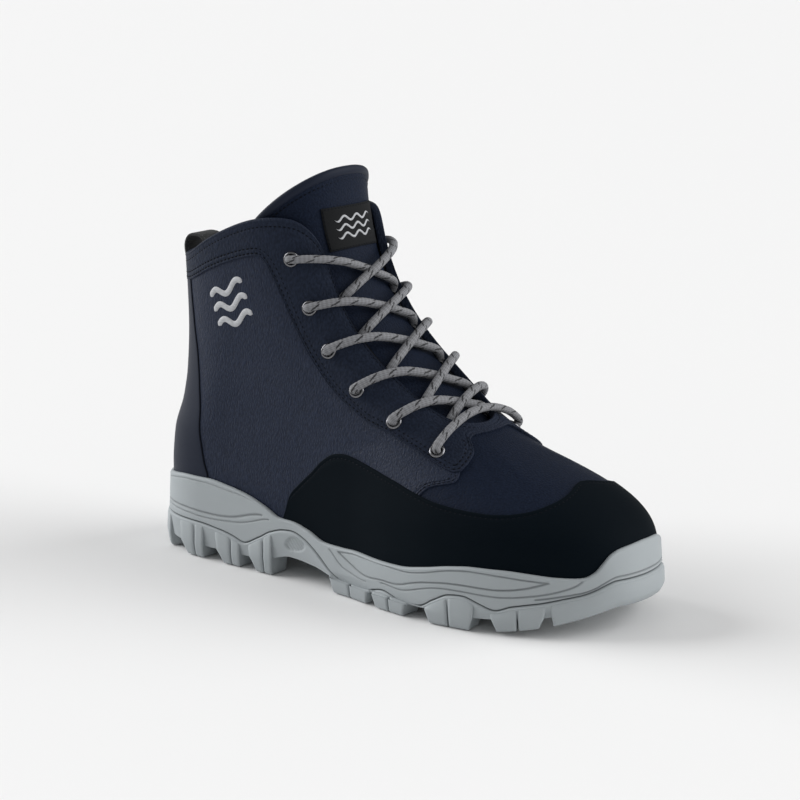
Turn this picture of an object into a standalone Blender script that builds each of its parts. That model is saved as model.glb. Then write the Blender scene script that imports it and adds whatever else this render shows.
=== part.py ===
"""Right-foot lace-up wading boot: lugged sole, hollow upper, facing, rand, tongue, eyelets and laces.

Metres, +Z up, toe towards +X, outer side of the foot towards -Y.
"""
import math

import bmesh
import bpy
import numpy as np
from mathutils import Vector

# Named sizes, metres
SOLE_LENGTH = 0.312
BALL_WIDTH = 0.116
COLLAR_HEIGHT = 0.168
FLARE = 0.006
LUG_PROUD = 0.0012
WALL = 0.0028
GAP = 0.0003

LAST_LENGTH = SOLE_LENGTH - 2 * FLARE
HALF_BALL = BALL_WIDTH / 2 - 0.8 * FLARE
HEEL_X = -LAST_LENGTH / 2
TOE_X = LAST_LENGTH / 2

# share of length, centre and half width as shares of half the ball
PLAN = np.array([
    (0.00, 0.00, 0.72),
    (0.10, 0.00, 0.74),
    (0.22, -0.01, 0.75),
    (0.36, -0.03, 0.75),
    (0.50, -0.04, 0.82),
    (0.62, -0.04, 0.95),
    (0.72, -0.013, 1.01),
    (0.82, 0.04, 1.00),
    (0.91, 0.09, 0.97),
    (1.00, 0.12, 0.94),
])
# crown line of instep and shin: share of length, share of collar height
CROWN = np.array([
    (1.080, 0.400),
    (1.000, 0.405),
    (0.930, 0.418),
    (0.860, 0.442),
    (0.770, 0.490),
    (0.690, 0.558),
    (0.615, 0.652),
    (0.530, 0.775),
    (0.462, 0.910),
    (0.422, 1.050),
    (0.402, 1.190),
    (0.395, 1.400),
])
# share of collar height, back line as share of length, half width as share of half the ball
LEVELS = np.array([
    (0.00, 0.012, 0.72),
    (0.18, 0.006, 0.73),
    (0.28, 0.002, 0.74),
    (0.40, 0.010, 0.76),
    (0.52, 0.034, 0.77),
    (0.62, 0.044, 0.78),
    (0.80, 0.048, 0.79),
    (1.00, 0.046, 0.81),
    (1.40, 0.040, 0.84),
])
# share of length, footbed height as share of collar height
FOOTBED = np.array([
    (0.00, 0.182),
    (0.20, 0.176),
    (0.40, 0.134),
    (0.60, 0.107),
    (0.75, 0.103),
    (0.88, 0.116),
    (1.00, 0.152),
])
# line inside the form that it is measured from: share of length, share of collar height
CORE = np.array([
    (0.82, 0.26),
    (0.72, 0.28),
    (0.62, 0.33),
    (0.52, 0.42),
    (0.43, 0.54),
    (0.35, 0.70),
    (0.29, 0.90),
    (0.25, 1.15),
    (0.23, 1.50),
])
# top edge along the collar: share of length, share of collar height
COLLAR = np.array([
    (0.046, 1.000),
    (0.110, 1.015),
    (0.162, 1.064),
    (0.228, 1.121),
    (0.292, 1.158),
    (0.330, 1.163),
])
# top edge down the throat: share along the crown line, half gap as share of half the ball
THROAT = np.array([
    (0.872, 0.650),
    (0.858, 0.575),
    (0.838, 0.515),
    (0.812, 0.480),
    (0.770, 0.470),
    (0.715, 0.475),
    (0.650, 0.480),
    (0.585, 0.470),
    (0.520, 0.440),
    (0.465, 0.390),
    (0.428, 0.290),
    (0.412, 0.160),
    (0.406, 0.000),
])
TOE_ROUND = 0.25 * LAST_LENGTH
HEEL_ROUND = 0.80 * HALF_BALL
SHAFT_ROUND = 1.02 * HALF_BALL
CROWN_ROUND_TOE = 0.62 * HALF_BALL
CROWN_ROUND_SHIN = 0.95 * HALF_BALL
ROUND_POWER = 2.3
CORNER_POWER = 2.4


def monotone(table, column, at):
    """Smooth curve through a table's rows with no overshoot."""
    xs = table[:, 0]
    ys = table[:, column]
    at = np.asarray(at, float)
    step = np.diff(xs)
    slope = np.diff(ys) / step
    tangent = np.empty_like(ys)
    tangent[0] = slope[0]
    tangent[-1] = slope[-1]
    before = 2 * step[1:] + step[:-1]
    after = step[1:] + 2 * step[:-1]
    rising = slope[:-1] * slope[1:] > 0
    safe = np.where(rising, slope[:-1], 1.0)
    safe_next = np.where(rising, slope[1:], 1.0)
    tangent[1:-1] = np.where(rising, (before + after) / (before / safe + after / safe_next), 0.0)
    k = np.clip(np.searchsorted(xs, at) - 1, 0, len(step) - 1)
    t = np.clip((at - xs[k]) / step[k], 0, 1)
    return ((1 + 2 * t) * (1 - t) ** 2 * ys[k] + t * (1 - t) ** 2 * step[k] * tangent[k]
            + t * t * (3 - 2 * t) * ys[k + 1] + t * t * (t - 1) * step[k] * tangent[k + 1])


def blend(low, high, at):
    t = np.clip((np.asarray(at, float) - low) / (high - low), 0, 1)
    return t * t * (3 - 2 * t)


def spline(knots, count, closed=False):
    """Even points on a smooth curve through the knots."""
    knots = np.asarray(knots, float)
    if closed:
        knots = np.vstack([knots[-4:-1], knots, knots[1:4]])
    run = np.concatenate([[0], np.cumsum(np.linalg.norm(np.diff(knots, axis=0), axis=1))])
    n = len(run)
    step = np.diff(run)
    matrix = np.eye(n)
    right = np.zeros_like(knots)
    for i in range(1, n - 1):
        matrix[i, i - 1:i + 2] = step[i - 1], 2 * (step[i - 1] + step[i]), step[i]
        right[i] = 6 * ((knots[i + 1] - knots[i]) / step[i] - (knots[i] - knots[i - 1]) / step[i - 1])
    bend = np.linalg.solve(matrix, right)
    first, last = (run[3], run[-4]) if closed else (run[0], run[-1])
    at = np.linspace(first, last, max(count, 400))
    k = np.clip(np.searchsorted(run, at) - 1, 0, n - 2)
    h = step[k][:, None]
    a = (run[k + 1] - at)[:, None]
    b = (at - run[k])[:, None]
    points = ((bend[k] * a ** 3 + bend[k + 1] * b ** 3) / (6 * h)
              + (knots[k] / h - bend[k] * h / 6) * a + (knots[k + 1] / h - bend[k + 1] * h / 6) * b)
    return even(points, count)


def even(points, count):
    run = np.concatenate([[0], np.cumsum(np.linalg.norm(np.diff(points, axis=0), axis=1))])
    at = np.linspace(0, run[-1], count)
    return np.stack([np.interp(at, run, points[:, i]) for i in range(points.shape[1])], 1)


def side_view(table):
    return np.column_stack([HEEL_X + LAST_LENGTH * table[:, 0], COLLAR_HEIGHT * table[:, 1]])


CROWN_LINE = spline(side_view(CROWN), 300)
CROWN_OUT = np.gradient(CROWN_LINE, axis=0)
CROWN_OUT = np.column_stack([CROWN_OUT[:, 1], -CROWN_OUT[:, 0]])
CROWN_OUT /= np.linalg.norm(CROWN_OUT, axis=1)[:, None]
CORE_LINE = spline(side_view(CORE), 200)


def nearest(line, x, z):
    """Nearest place on a side-view line: distance vectors, distance and share along it."""
    spots = np.column_stack([np.ravel(x), np.ravel(z)])
    start = line[:-1]
    along = line[1:] - start
    square = (along ** 2).sum(1)
    offset = np.empty((len(spots), 2))
    where = np.empty(len(spots))
    for low in range(0, len(spots), 5000):
        part = spots[low:low + 5000]
        t = np.clip(((part[:, None] - start) * along).sum(2) / square, 0, 1)
        gap = start + along * t[..., None] - part[:, None]
        k = (gap ** 2).sum(2).argmin(1)
        row = np.arange(len(part))
        offset[low:low + 5000] = gap[row, k]
        where[low:low + 5000] = (k + t[row, k]) / (len(line) - 1)
    return offset, where


def crown_depth(x, z):
    x, z = np.broadcast_arrays(np.asarray(x, float), np.asarray(z, float))
    offset, where = nearest(CROWN_LINE, x, z)
    k = np.rint(where * (len(CROWN_LINE) - 1)).astype(int)
    sign = np.sign((offset * CROWN_OUT[k]).sum(1))
    return (np.linalg.norm(offset, axis=1) * sign).reshape(x.shape), where.reshape(x.shape)


def share_of_length(x):
    return np.clip((np.asarray(x, float) - HEEL_X) / LAST_LENGTH, 0, 1)


def footbed_z(x):
    return COLLAR_HEIGHT * monotone(FOOTBED, 1, share_of_length(x))


def back_x(z):
    return HEEL_X + LAST_LENGTH * monotone(LEVELS, 1, np.clip(z / COLLAR_HEIGHT, 0, 1.4))


def centre_y(x, z):
    low = 1 - blend(0.42 * COLLAR_HEIGHT, 0.72 * COLLAR_HEIGHT, z)
    return HALF_BALL * monotone(PLAN, 1, share_of_length(x)) * low


def roundness(q):
    return (1 - (1 - np.clip(q, 0, 1)) ** ROUND_POWER) ** (1 / ROUND_POWER)


def outline_share(x, z):
    """0 inside the form's side view, 1 on its outline over toe, instep and shin."""
    depth, along = crown_depth(x, z)
    reach = CROWN_ROUND_TOE + (CROWN_ROUND_SHIN - CROWN_ROUND_TOE) * blend(0.25, 0.75, along)
    top = np.clip(1 - depth / reach, 0, None)
    toe = np.clip(1 - (TOE_X - x) / TOE_ROUND, 0, None)
    return (top ** CORNER_POWER + toe ** CORNER_POWER) ** (1 / CORNER_POWER)


def half_width(x, z):
    """Distance from the form's middle to its surface, level with the ground and across the foot."""
    x, z = np.broadcast_arrays(np.asarray(x, float), np.asarray(z, float))
    foot = monotone(PLAN, 2, share_of_length(x))
    shaft = monotone(LEVELS, 2, np.clip(z / COLLAR_HEIGHT, 0, 1.4))
    full = HALF_BALL * (foot + (shaft - foot) * blend(0.27 * COLLAR_HEIGHT, 0.60 * COLLAR_HEIGHT, z))
    heel = HEEL_ROUND + (SHAFT_ROUND - HEEL_ROUND) * blend(0.36 * COLLAR_HEIGHT, 0.78 * COLLAR_HEIGHT, z)
    return full * roundness(1 - outline_share(x, z)) * roundness((x - back_x(z)) / heel)


def on_form(points):
    """Moves points along rays from the core line onto the form's surface."""
    points = np.asarray(points, float)
    shape = points.shape
    points = points.reshape(-1, 3)
    offset, _ = nearest(CORE_LINE, points[:, 0], points[:, 2])
    core_x = points[:, 0] + offset[:, 0]
    core_z = points[:, 2] + offset[:, 1]
    core = np.column_stack([core_x, centre_y(core_x, core_z), core_z])
    ray = points - core
    low = np.zeros(len(points))
    high = np.full(len(points), 2.2)
    for _ in range(22):
        middle = (low + high) / 2
        spot = core + ray * middle[:, None]
        away = np.abs(spot[:, 1] - centre_y(spot[:, 0], spot[:, 2]))
        width = half_width(spot[:, 0], spot[:, 2])
        inside = (away <= width + 1e-7) & (outline_share(spot[:, 0], spot[:, 2]) < 1)
        inside &= spot[:, 0] > back_x(spot[:, 2])
        low = np.where(inside, middle, low)
        high = np.where(inside, high, middle)
    return (core + ray * low[:, None]).reshape(shape)


def crown_spot(along, away):
    """Side-view place where the surface is the given distance from the middle."""
    along = np.asarray(along, float)
    away = np.abs(np.asarray(away, float))
    place = along * (len(CROWN_LINE) - 1)
    index = np.arange(len(CROWN_LINE))
    start = np.stack([np.interp(place, index, CROWN_LINE[:, i]) for i in (0, 1)], -1)
    out = np.stack([np.interp(place, index, CROWN_OUT[:, i]) for i in (0, 1)], -1)
    low = np.full(along.shape, -0.2 * HALF_BALL)
    high = np.full(along.shape, CROWN_ROUND_SHIN)
    for _ in range(24):
        middle = (low + high) / 2
        spot = start - out * middle[..., None]
        x, z = spot[..., 0], spot[..., 1]
        narrow = (half_width(x, z) < away) | (outline_share(x, z) >= 1)
        low = np.where(narrow, middle, low)
        high = np.where(narrow, high, middle)
    return start - out * high[..., None]


def place_on_crown(along, sideways):
    """Point on the form's surface at a share along the crown line, a signed distance off its middle."""
    spot = crown_spot(along, sideways)
    y = centre_y(spot[..., 0], spot[..., 1]) + sideways
    return np.stack([spot[..., 0], y, spot[..., 1]], -1)


def feather_line(count):
    """The form's lower edge, from heel to toe, as side-view place and distance off the middle."""
    z = footbed_z(TOE_X) + GAP
    low, high = TOE_X - TOE_ROUND, TOE_X
    for _ in range(30):
        middle = (low + high) / 2
        low, high = (middle, high) if outline_share(middle, z) < 1 else (low, middle)
    heel = back_x(footbed_z(HEEL_X) + GAP)
    x = heel + (low - heel) * (1 - np.cos(np.linspace(0, math.pi, 1200))) / 2
    z = footbed_z(x) + GAP
    return even(np.column_stack([x, half_width(x, z), z]), count)


def toe_profile(end):
    """Middle line from the toe's lower edge back to a place on the crown line."""
    low_edge = feather_line(3)[-1]
    centre = np.array([TOE_X - TOE_ROUND, low_edge[2]])
    aim = end - centre
    angles = np.linspace(0, math.atan2(aim[1], aim[0]), 240)
    ray = np.column_stack([np.cos(angles), np.sin(angles)])
    low = np.zeros(len(angles))
    high = np.full(len(angles), 2 * TOE_ROUND)
    for _ in range(30):
        middle = (low + high) / 2
        spot = centre + ray * middle[:, None]
        inside = outline_share(spot[:, 0], spot[:, 1]) < 1
        low = np.where(inside, middle, low)
        high = np.where(inside, high, middle)
    return centre + ray * low[:, None]


def top_edge(count):
    """Collar and throat edge from the back to the throat's lower end, as one even line."""
    collar = side_view(COLLAR)
    collar = np.column_stack([collar[:, 0], half_width(collar[:, 0], collar[:, 1]), collar[:, 1]])
    collar[0, 1] = 0
    spot = crown_spot(THROAT[:, 0], HALF_BALL * THROAT[:, 1])
    throat = np.column_stack([spot[:, 0], HALF_BALL * THROAT[:, 1], spot[:, 1]])
    half = np.vstack([collar, throat])
    whole = np.vstack([half, half[-2::-1] * [1, -1, 1]])
    return spline(whole, 2 * count - 1, closed=True)[:count]


def form_grid(columns, rows):
    """Surface points [side, column, row, xyz]: columns run heel to toe, rows feather to top edge."""
    feather = feather_line(columns)
    top = top_edge(columns)
    z = np.linspace(feather[0, 2], top[0, 2], 200)
    back = even(np.column_stack([back_x(z), z]), rows)
    toe = even(toe_profile(top[-1, [0, 2]]), rows)
    w = np.linspace(0, 1, columns)[:, None, None]
    t = np.linspace(0, 1, rows)[None, :, None]
    sides = []
    for side in (-1, 1):
        low = off_middle(feather, side)[:, None]
        high = off_middle(top, side)[:, None]
        start = off_middle(np.insert(back, 1, 0, axis=1), side)[None]
        end = off_middle(np.insert(toe, 1, 0, axis=1), side)[None]
        corners = (1 - t) * ((1 - w) * low[0] + w * low[-1]) + t * ((1 - w) * high[0] + w * high[-1])
        net = (1 - t) * low + t * high + (1 - w) * start + w * end - corners
        sides.append(on_form(net))
    return np.array(sides)


def off_middle(points, side):
    points = np.array(points, float)
    points[:, 1] = centre_y(points[:, 0], points[:, 2]) + side * points[:, 1]
    return points


# Pieces

NODE = "wading_boot"
COLUMNS = 31
NET_ROWS = 41
CUP = 0.0030
STAY_THICK = 0.0012
RAND_THICK = 0.0011
BACKSTAY_THICK = 0.0010
LACE_RADIUS = 0.0022
HOLE_RADIUS = 0.0033
EYELET_SIDES = 8
HEEL_HEIGHT = 0.030
INSOLE_THICK = 0.0035
TONGUE_THICK = 0.0030
LABEL_THICK = 0.0007
TONGUE_INSET = WALL + 0.0013
STAY_TOP = GAP + STAY_THICK
# columns of the ring where the facing and the rand start and the backstay ends, counted from the heel
STAY_COLUMN, RAND_COLUMN, BACKSTAY_COLUMN = 2, 12, 5

# around (0 heel, 1 toe) and three lines as shares of the way from feather to top edge
BANDS = np.array([
    (0.000, 0.078, 0.320, 0.900),
    (0.090, 0.080, 0.320, 0.900),
    (0.190, 0.110, 0.315, 0.897),
    (0.270, 0.088, 0.290, 0.894),
    (0.330, 0.062, 0.180, 0.891),
    (0.360, 0.048, 0.110, 0.865),
    (0.390, 0.042, 0.172, 0.735),
    (0.420, 0.034, 0.235, 0.602),
    (0.460, 0.030, 0.304, 0.520),
    (0.520, 0.042, 0.340, 0.490),
    (0.580, 0.050, 0.346, 0.500),
    (0.640, 0.064, 0.342, 0.526),
    (0.700, 0.088, 0.326, 0.532),
    (0.760, 0.104, 0.320, 0.500),
    (0.800, 0.102, 0.320, 0.548),
    (0.850, 0.082, 0.332, 0.660),
    (0.895, 0.062, 0.372, 0.778),
    (0.925, 0.092, 0.412, 0.868),
    (0.950, 0.138, 0.450, 0.922),
    (1.000, 0.155, 0.510, 0.950),
])
# how many grid steps lie between feather, rim, rand line, facing line and top edge
BAND_STEPS = (1, 3, 3, 3)

# share of length, then heights as shares of the heel height: ground line, tread base, plate, parting line
SOLE = np.array([
    (0.00, 0.15, 0.32, 0.43, 0.50),
    (0.04, 0.00, 0.25, 0.38, 0.47),
    (0.10, 0.00, 0.23, 0.37, 0.42),
    (0.16, 0.00, 0.23, 0.37, 0.39),
    (0.22, 0.00, 0.23, 0.37, 0.44),
    (0.30, 0.00, 0.28, 0.42, 0.66),
    (0.36, 0.00, 0.42, 0.54, 0.70),
    (0.42, 0.00, 0.37, 0.50, 0.58),
    (0.48, 0.00, 0.25, 0.38, 0.39),
    (0.54, 0.00, 0.23, 0.35, 0.42),
    (0.60, 0.00, 0.23, 0.35, 0.53),
    (0.66, 0.00, 0.23, 0.35, 0.42),
    (0.72, 0.00, 0.23, 0.35, 0.36),
    (0.78, 0.00, 0.23, 0.35, 0.43),
    (0.84, 0.05, 0.26, 0.38, 0.42),
    (0.90, 0.15, 0.33, 0.45, 0.50),
    (0.96, 0.33, 0.48, 0.59, 0.67),
    (1.00, 0.50, 0.63, 0.72, 0.87),
])
GROUND, TREAD_BASE, PLATE, PARTING = 1, 2, 3, 4
# way down the side wall from rim to parting line, push outwards
WALL_STEPS = np.array([
    (0.00, 0.0000),
    (0.38, 0.0005),
    (0.46, -0.0007),
    (0.58, 0.0004),
    (1.00, 0.0000),
])
# start and end of the edge lugs, around from heel 0 to toe 1, both sides
EDGE_LUGS = (
    (0.020, 0.105),
    (0.145, 0.195),
    (0.222, 0.268),
    (0.290, 0.325),
    (0.470, 0.545),
    (0.567, 0.624),
    (0.672, 0.738),
    (0.778, 0.838),
)
TOE_LUG = 0.875
LUG_DEPTH = 0.27 * HALF_BALL
LUG_STRIP = 0.0025
# middle lugs: share of length, sideways as share of half the ball, half length, half width, turn in degrees
MIDDLE_LUGS = np.array([
    (0.13, 0.00, 0.036, 0.20, 0),
    (0.24, 0.00, 0.036, 0.20, 0),
    (0.49, -0.22, 0.026, 0.15, 18),
    (0.49, 0.16, 0.026, 0.15, -18),
    (0.585, -0.26, 0.026, 0.18, 18),
    (0.585, 0.20, 0.026, 0.18, -18),
    (0.68, -0.26, 0.026, 0.19, 18),
    (0.68, 0.22, 0.026, 0.19, -18),
    (0.775, -0.22, 0.026, 0.18, 18),
    (0.775, 0.26, 0.026, 0.18, -18),
    (0.865, 0.04, 0.022, 0.24, 0),
])
# share along the crown line, distance off the middle as share of half the ball
EYELETS = np.array([
    (0.406, 0.630),
    (0.498, 0.660),
    (0.586, 0.690),
    (0.666, 0.685),
    (0.737, 0.672),
    (0.816, 0.690),
])
# radius, height along the eyelet's axis above the surface it sits on
EYELET_RING = np.array([
    (0.0029, -0.0040),
    (0.0029, 0.0004),
    (0.0049, 0.0004),
    (0.0042, 0.0011),
    (0.0023, 0.0010),
    (0.0023, -0.0040),
])
# where the lowest crossing comes out of the throat, same columns
LOWEST_CROSSING = (0.446, 0.48)
DRAIN_AROUND, DRAIN_UP = 0.335, 0.125
# share along the crown line, tongue's half reach below the crown as share of half the ball
TONGUE = np.array([
    (0.372, 0.14),
    (0.400, 0.20),
    (0.450, 0.32),
    (0.550, 0.48),
    (0.650, 0.56),
    (0.780, 0.66),
    (0.880, 0.74),
    (1.000, 0.78),
])
TONGUE_TOP, TONGUE_ARCH, TONGUE_LOW = 0.885, 0.090, 0.374
# webbing loop: distance in front of the back line, height over the collar, both as shares of collar height
LOOP = np.array([
    (-0.0165, -0.170),
    (-0.024, -0.125),
    (-0.046, -0.075),
    (-0.066, -0.025),
    (-0.066, 0.015),
    (-0.046, 0.040),
    (-0.018, 0.044),
    (0.012, 0.036),
    (0.028, 0.008),
    (0.031, -0.035),
    (0.031, -0.085),
])
LOOP_WIDTH, LOOP_THICK, LOOP_STEPS = 0.10 * COLLAR_HEIGHT, 0.0016, 20
# lace run over the crown: distance off the middle (+1 at the far eyelet), height over the surface
RUN_UNDER = np.array([
    (-1.00, 0.0053),
    (-0.90, 0.0052),
    (-0.74, 0.0046),
    (-0.54, 0.0030),
    (-0.25, 0.0004),
    (0.00, -0.0004),
    (0.26, -0.0008),
    (0.56, -0.0008),
])
RUN_OVER = np.array([
    (-0.56, -0.0008),
    (-0.30, 0.0010),
    (0.00, 0.0035),
    (0.28, 0.0040),
    (0.52, 0.0045),
    (0.74, 0.0047),
    (0.90, 0.0052),
    (1.00, 0.0053),
])
RUN_BAR = np.array([
    (-1.00, 0.0053),
    (-0.88, 0.0051),
    (-0.60, 0.0046),
    (-0.30, 0.0044),
    (0.00, 0.0044),
    (0.30, 0.0044),
    (0.60, 0.0046),
    (0.88, 0.0051),
    (1.00, 0.0053),
])

COLOURS = {
    "sole": (0.42, 0.46, 0.48, 1),
    "midsole": (0.50, 0.54, 0.56, 1),
    "textile": (0.045, 0.06, 0.10, 1),
    "facing": (0.035, 0.05, 0.085, 1),
    "rand": (0.012, 0.014, 0.016, 1),
    "metal": (0.25, 0.26, 0.28, 1),
    "lace": (0.30, 0.31, 0.34, 1),
    "lining": (0.02, 0.02, 0.022, 1),
}


def clear_scene():
    for item in list(bpy.data.objects):
        bpy.data.objects.remove(item, do_unlink=True)


def collection(name, hidden=False):
    made = bpy.data.collections.new(name)
    bpy.context.scene.collection.children.link(made)
    made.hide_render = hidden
    return made


def paint(made, colour):
    material = bpy.data.materials.new(made.name)
    material.use_nodes = True
    shader = material.node_tree.nodes["Principled BSDF"]
    shader.inputs["Base Color"].default_value = COLOURS[colour]
    shader.inputs["Roughness"].default_value = 0.35 if colour == "metal" else 0.8
    shader.inputs["Metallic"].default_value = 1.0 if colour == "metal" else 0.0
    made.data.materials.append(material)


def link(name, data, home, colour):
    made = bpy.data.objects.new(name, data)
    home.objects.link(made)
    if colour:
        paint(made, colour)
    return made


def solid_object(name, points, faces, home, colour):
    """Closed body from points and faces, with its normals outwards."""
    mesh = bpy.data.meshes.new(name)
    mesh.from_pydata([tuple(p) for p in points], [], faces)
    body = bmesh.new()
    body.from_mesh(mesh)
    bmesh.ops.recalc_face_normals(body, faces=body.faces)
    body.to_mesh(mesh)
    body.free()
    return link(name, mesh, home, colour)


def sheet_object(name, net, closed, inner_side, thickness, home, colour):
    """Open net of points [column, row] thickened by Solidify: inwards for a negative thickness."""
    columns, rows = net.shape[:2]
    faces = []
    for i in range(columns if closed else columns - 1):
        n = (i + 1) % columns
        for j in range(rows - 1):
            low, beside = i * rows + j, n * rows + j
            faces += halves(low, beside, beside + 1, low + 1, inner_side[i])
    mesh = bpy.data.meshes.new(name)
    mesh.from_pydata([tuple(p) for p in net.reshape(-1, 3)], [], faces)
    made = link(name, mesh, home, colour)
    wall = made.modifiers.new("wall", "SOLIDIFY")
    wall.thickness = abs(thickness)
    wall.offset = 1 if thickness > 0 else -1
    wall.use_even_offset = True
    wall.use_quality_normals = True
    return made


def baked(made):
    """Mesh of an object with its modifiers applied."""
    depsgraph = bpy.context.evaluated_depsgraph_get()
    return bpy.data.meshes.new_from_object(made.evaluated_get(depsgraph))


def boolean(target, cutter, operation):
    """Applies one exact Boolean and keeps the result as the target's mesh."""
    step = target.modifiers.new(operation.lower(), "BOOLEAN")
    step.operation = operation
    step.solver = "EXACT"
    step.object = cutter
    result = baked(target)
    target.modifiers.clear()
    target.data = result


def halves(a, b, c, d, inner_side):
    """Two facets of a four-sided field, cut along the diagonal that rises towards the toe."""
    return [(a, b, d), (b, c, d)] if inner_side else [(a, b, c), (a, c, d)]


# Surface net with its outward directions, as a ring of columns: heel, outer side, toe, inner side

def ring_of(grid):
    """Joins both sides' columns into one ring, sharing the heel and toe columns."""
    return np.concatenate([grid[0], grid[1][-2:0:-1]])


def outward(ring):
    """Unit directions off the surface at each point of a ring of columns."""
    across = np.roll(ring, -1, axis=0) - np.roll(ring, 1, axis=0)
    up = np.gradient(ring, axis=1)
    out = np.cross(across, up)
    out /= np.linalg.norm(out, axis=2)[..., None]
    inside = ring.mean(axis=(0, 1))
    return out if ((ring - inside) * out).sum() > 0 else -out


RING = ring_of(form_grid(COLUMNS + 1, NET_ROWS))
OUT = outward(RING)
COUNT = len(RING)
AROUND = np.minimum(np.arange(COUNT), COUNT - np.arange(COUNT)) / COLUMNS


def along_columns(shares):
    """Points and directions at given shares of each column's length; shares is [column, row]."""
    run = np.zeros(RING.shape[:2])
    run[:, 1:] = np.cumsum(np.linalg.norm(np.diff(RING, axis=1), axis=2), axis=1)
    points = np.empty(shares.shape + (3,))
    out = np.empty_like(points)
    for i in range(COUNT):
        at = shares[i] * run[i, -1]
        for k in range(3):
            points[i, :, k] = np.interp(at, run[i], RING[i, :, k])
            out[i, :, k] = np.interp(at, run[i], OUT[i, :, k])
    out /= np.linalg.norm(out, axis=2)[..., None]
    return points, out


def band_shares():
    lines = [np.zeros(COUNT)] + [monotone(BANDS, k, AROUND) for k in (1, 2, 3)] + [np.ones(COUNT)]
    rows = [lines[0]]
    for low, high, steps in zip(lines, lines[1:], BAND_STEPS):
        rows += [low + (high - low) * (s + 1) / steps for s in range(steps)]
    return np.stack(rows, 1)


SHARES = band_shares()
RIM_ROW = BAND_STEPS[0]
RAND_ROW = RIM_ROW + BAND_STEPS[1]
STAY_ROW = RAND_ROW + BAND_STEPS[2]
TOP_ROW = STAY_ROW + BAND_STEPS[3]
SURFACE, DIRECTION = along_columns(SHARES)
COLUMN_LENGTH = np.linalg.norm(np.diff(RING, axis=1), axis=2).sum(axis=1)


def lifted(shares, height):
    points, out = along_columns(shares)
    return points + out * height


def stacked(rings):
    """Solid from rings of points one after another; the ends are closed with strips across the foot."""
    count = len(rings[0])
    points = np.concatenate(rings)
    faces = []
    for level in range(len(rings) - 1):
        low = level * count
        for i in range(count):
            n = (i + 1) % count
            faces += halves(low + i, low + n, low + count + n, low + count + i, i >= count // 2)
    half = count // 2
    for low in (0, (len(rings) - 1) * count):
        faces.append((low, low + 1, low + count - 1))
        faces.append((low + half - 1, low + half, low + half + 1))
        for i in range(1, half - 1):
            faces.append((low + i, low + i + 1, low + count - i - 1, low + count - i))
    return points, faces


# Sole

def plan_out(ring):
    along = np.roll(ring, -1, axis=0) - np.roll(ring, 1, axis=0)
    out = np.column_stack([along[:, 1], -along[:, 0]])
    out /= np.linalg.norm(out, axis=1)[:, None]
    centre = ring[:, :2].mean(axis=0)
    return out if ((ring[:, :2] - centre) * out).sum() > 0 else -out


FEATHER = SURFACE[:, 0]
PLAN_OUT = plan_out(FEATHER)


def sole_outline():
    """Plan outline of the lugs' outer faces, stretched to the named length and width."""
    flare = FLARE * (0.8 + 0.2 * np.abs(PLAN_OUT[:, 0]))
    line = FEATHER[:, :2] + PLAN_OUT * flare[:, None]
    for k, size in ((0, SOLE_LENGTH), (1, BALL_WIDTH)):
        low, high = line[:, k].min(), line[:, k].max()
        line[:, k] = (line[:, k] - (low + high) / 2) * size / (high - low)
    return line


OUTLINE = sole_outline()


def sole_z(x, line):
    return HEEL_HEIGHT * monotone(SOLE, line, share_of_length(x))


def outline_ring(inset, z):
    """Outline moved inwards, at a height given by a number for each point."""
    plan = OUTLINE - PLAN_OUT * inset
    return np.column_stack([plan, z(plan[:, 0]) if callable(z) else z])


def wall_line():
    return outline_ring(LUG_PROUD, lambda x: sole_z(x, PARTING))


def build_midsole(home):
    rim_out = SURFACE[:, RIM_ROW] + DIRECTION[:, RIM_ROW] * (GAP + CUP)
    rim_in = SURFACE[:, RIM_ROW] + DIRECTION[:, RIM_ROW] * GAP
    corner = SURFACE[:, 0] + DIRECTION[:, 0] * GAP
    corner[:, 2] = footbed_z(corner[:, 0])
    parting = wall_line()
    rings = [corner, rim_in]
    for share, push in WALL_STEPS:
        ring = rim_out + (parting - rim_out) * share
        ring[:, :2] += PLAN_OUT * push
        rings.append(ring)
    rings.append(outline_ring(0.006, lambda x: sole_z(x, PLATE)))
    return solid_object("midsole", *stacked(rings), home, "midsole")


def build_outsole(home, cutters):
    parting = wall_line() - [0, 0, GAP]
    base = outline_ring(LUG_PROUD + 0.0012, lambda x: sole_z(x, TREAD_BASE))
    middle = (parting + base) / 2
    top = outline_ring(0.006, lambda x: sole_z(x, PLATE) - GAP)
    plate = solid_object("outsole", *stacked([base, middle, parting, top]), home, "sole")
    lugs = [edge_lug(start, end, side) for start, end in EDGE_LUGS for side in (-1, 1)]
    lugs.append(edge_lug(TOE_LUG, 2 - TOE_LUG, -1))
    points, faces = joined(lugs)
    boolean(plate, solid_object("edge_lugs", points, faces, cutters, None), "UNION")
    boolean(plate, middle_lugs(cutters), "UNION")
    return plate


def joined(parts):
    points = np.concatenate([p for p, _ in parts])
    faces = []
    first = 0
    for p, some in parts:
        faces += [tuple(first + v for v in face) for face in some]
        first += len(p)
    return points, faces


def ring_at(values, around):
    """Values of a ring of points at places around it, heel 0 to toe 1 to heel 2."""
    place = np.asarray(around) * COLUMNS % COUNT
    low = np.floor(place).astype(int)
    part = (place - low)[:, None]
    return values[low % COUNT] * (1 - part) + values[(low + 1) % COUNT] * part


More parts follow.
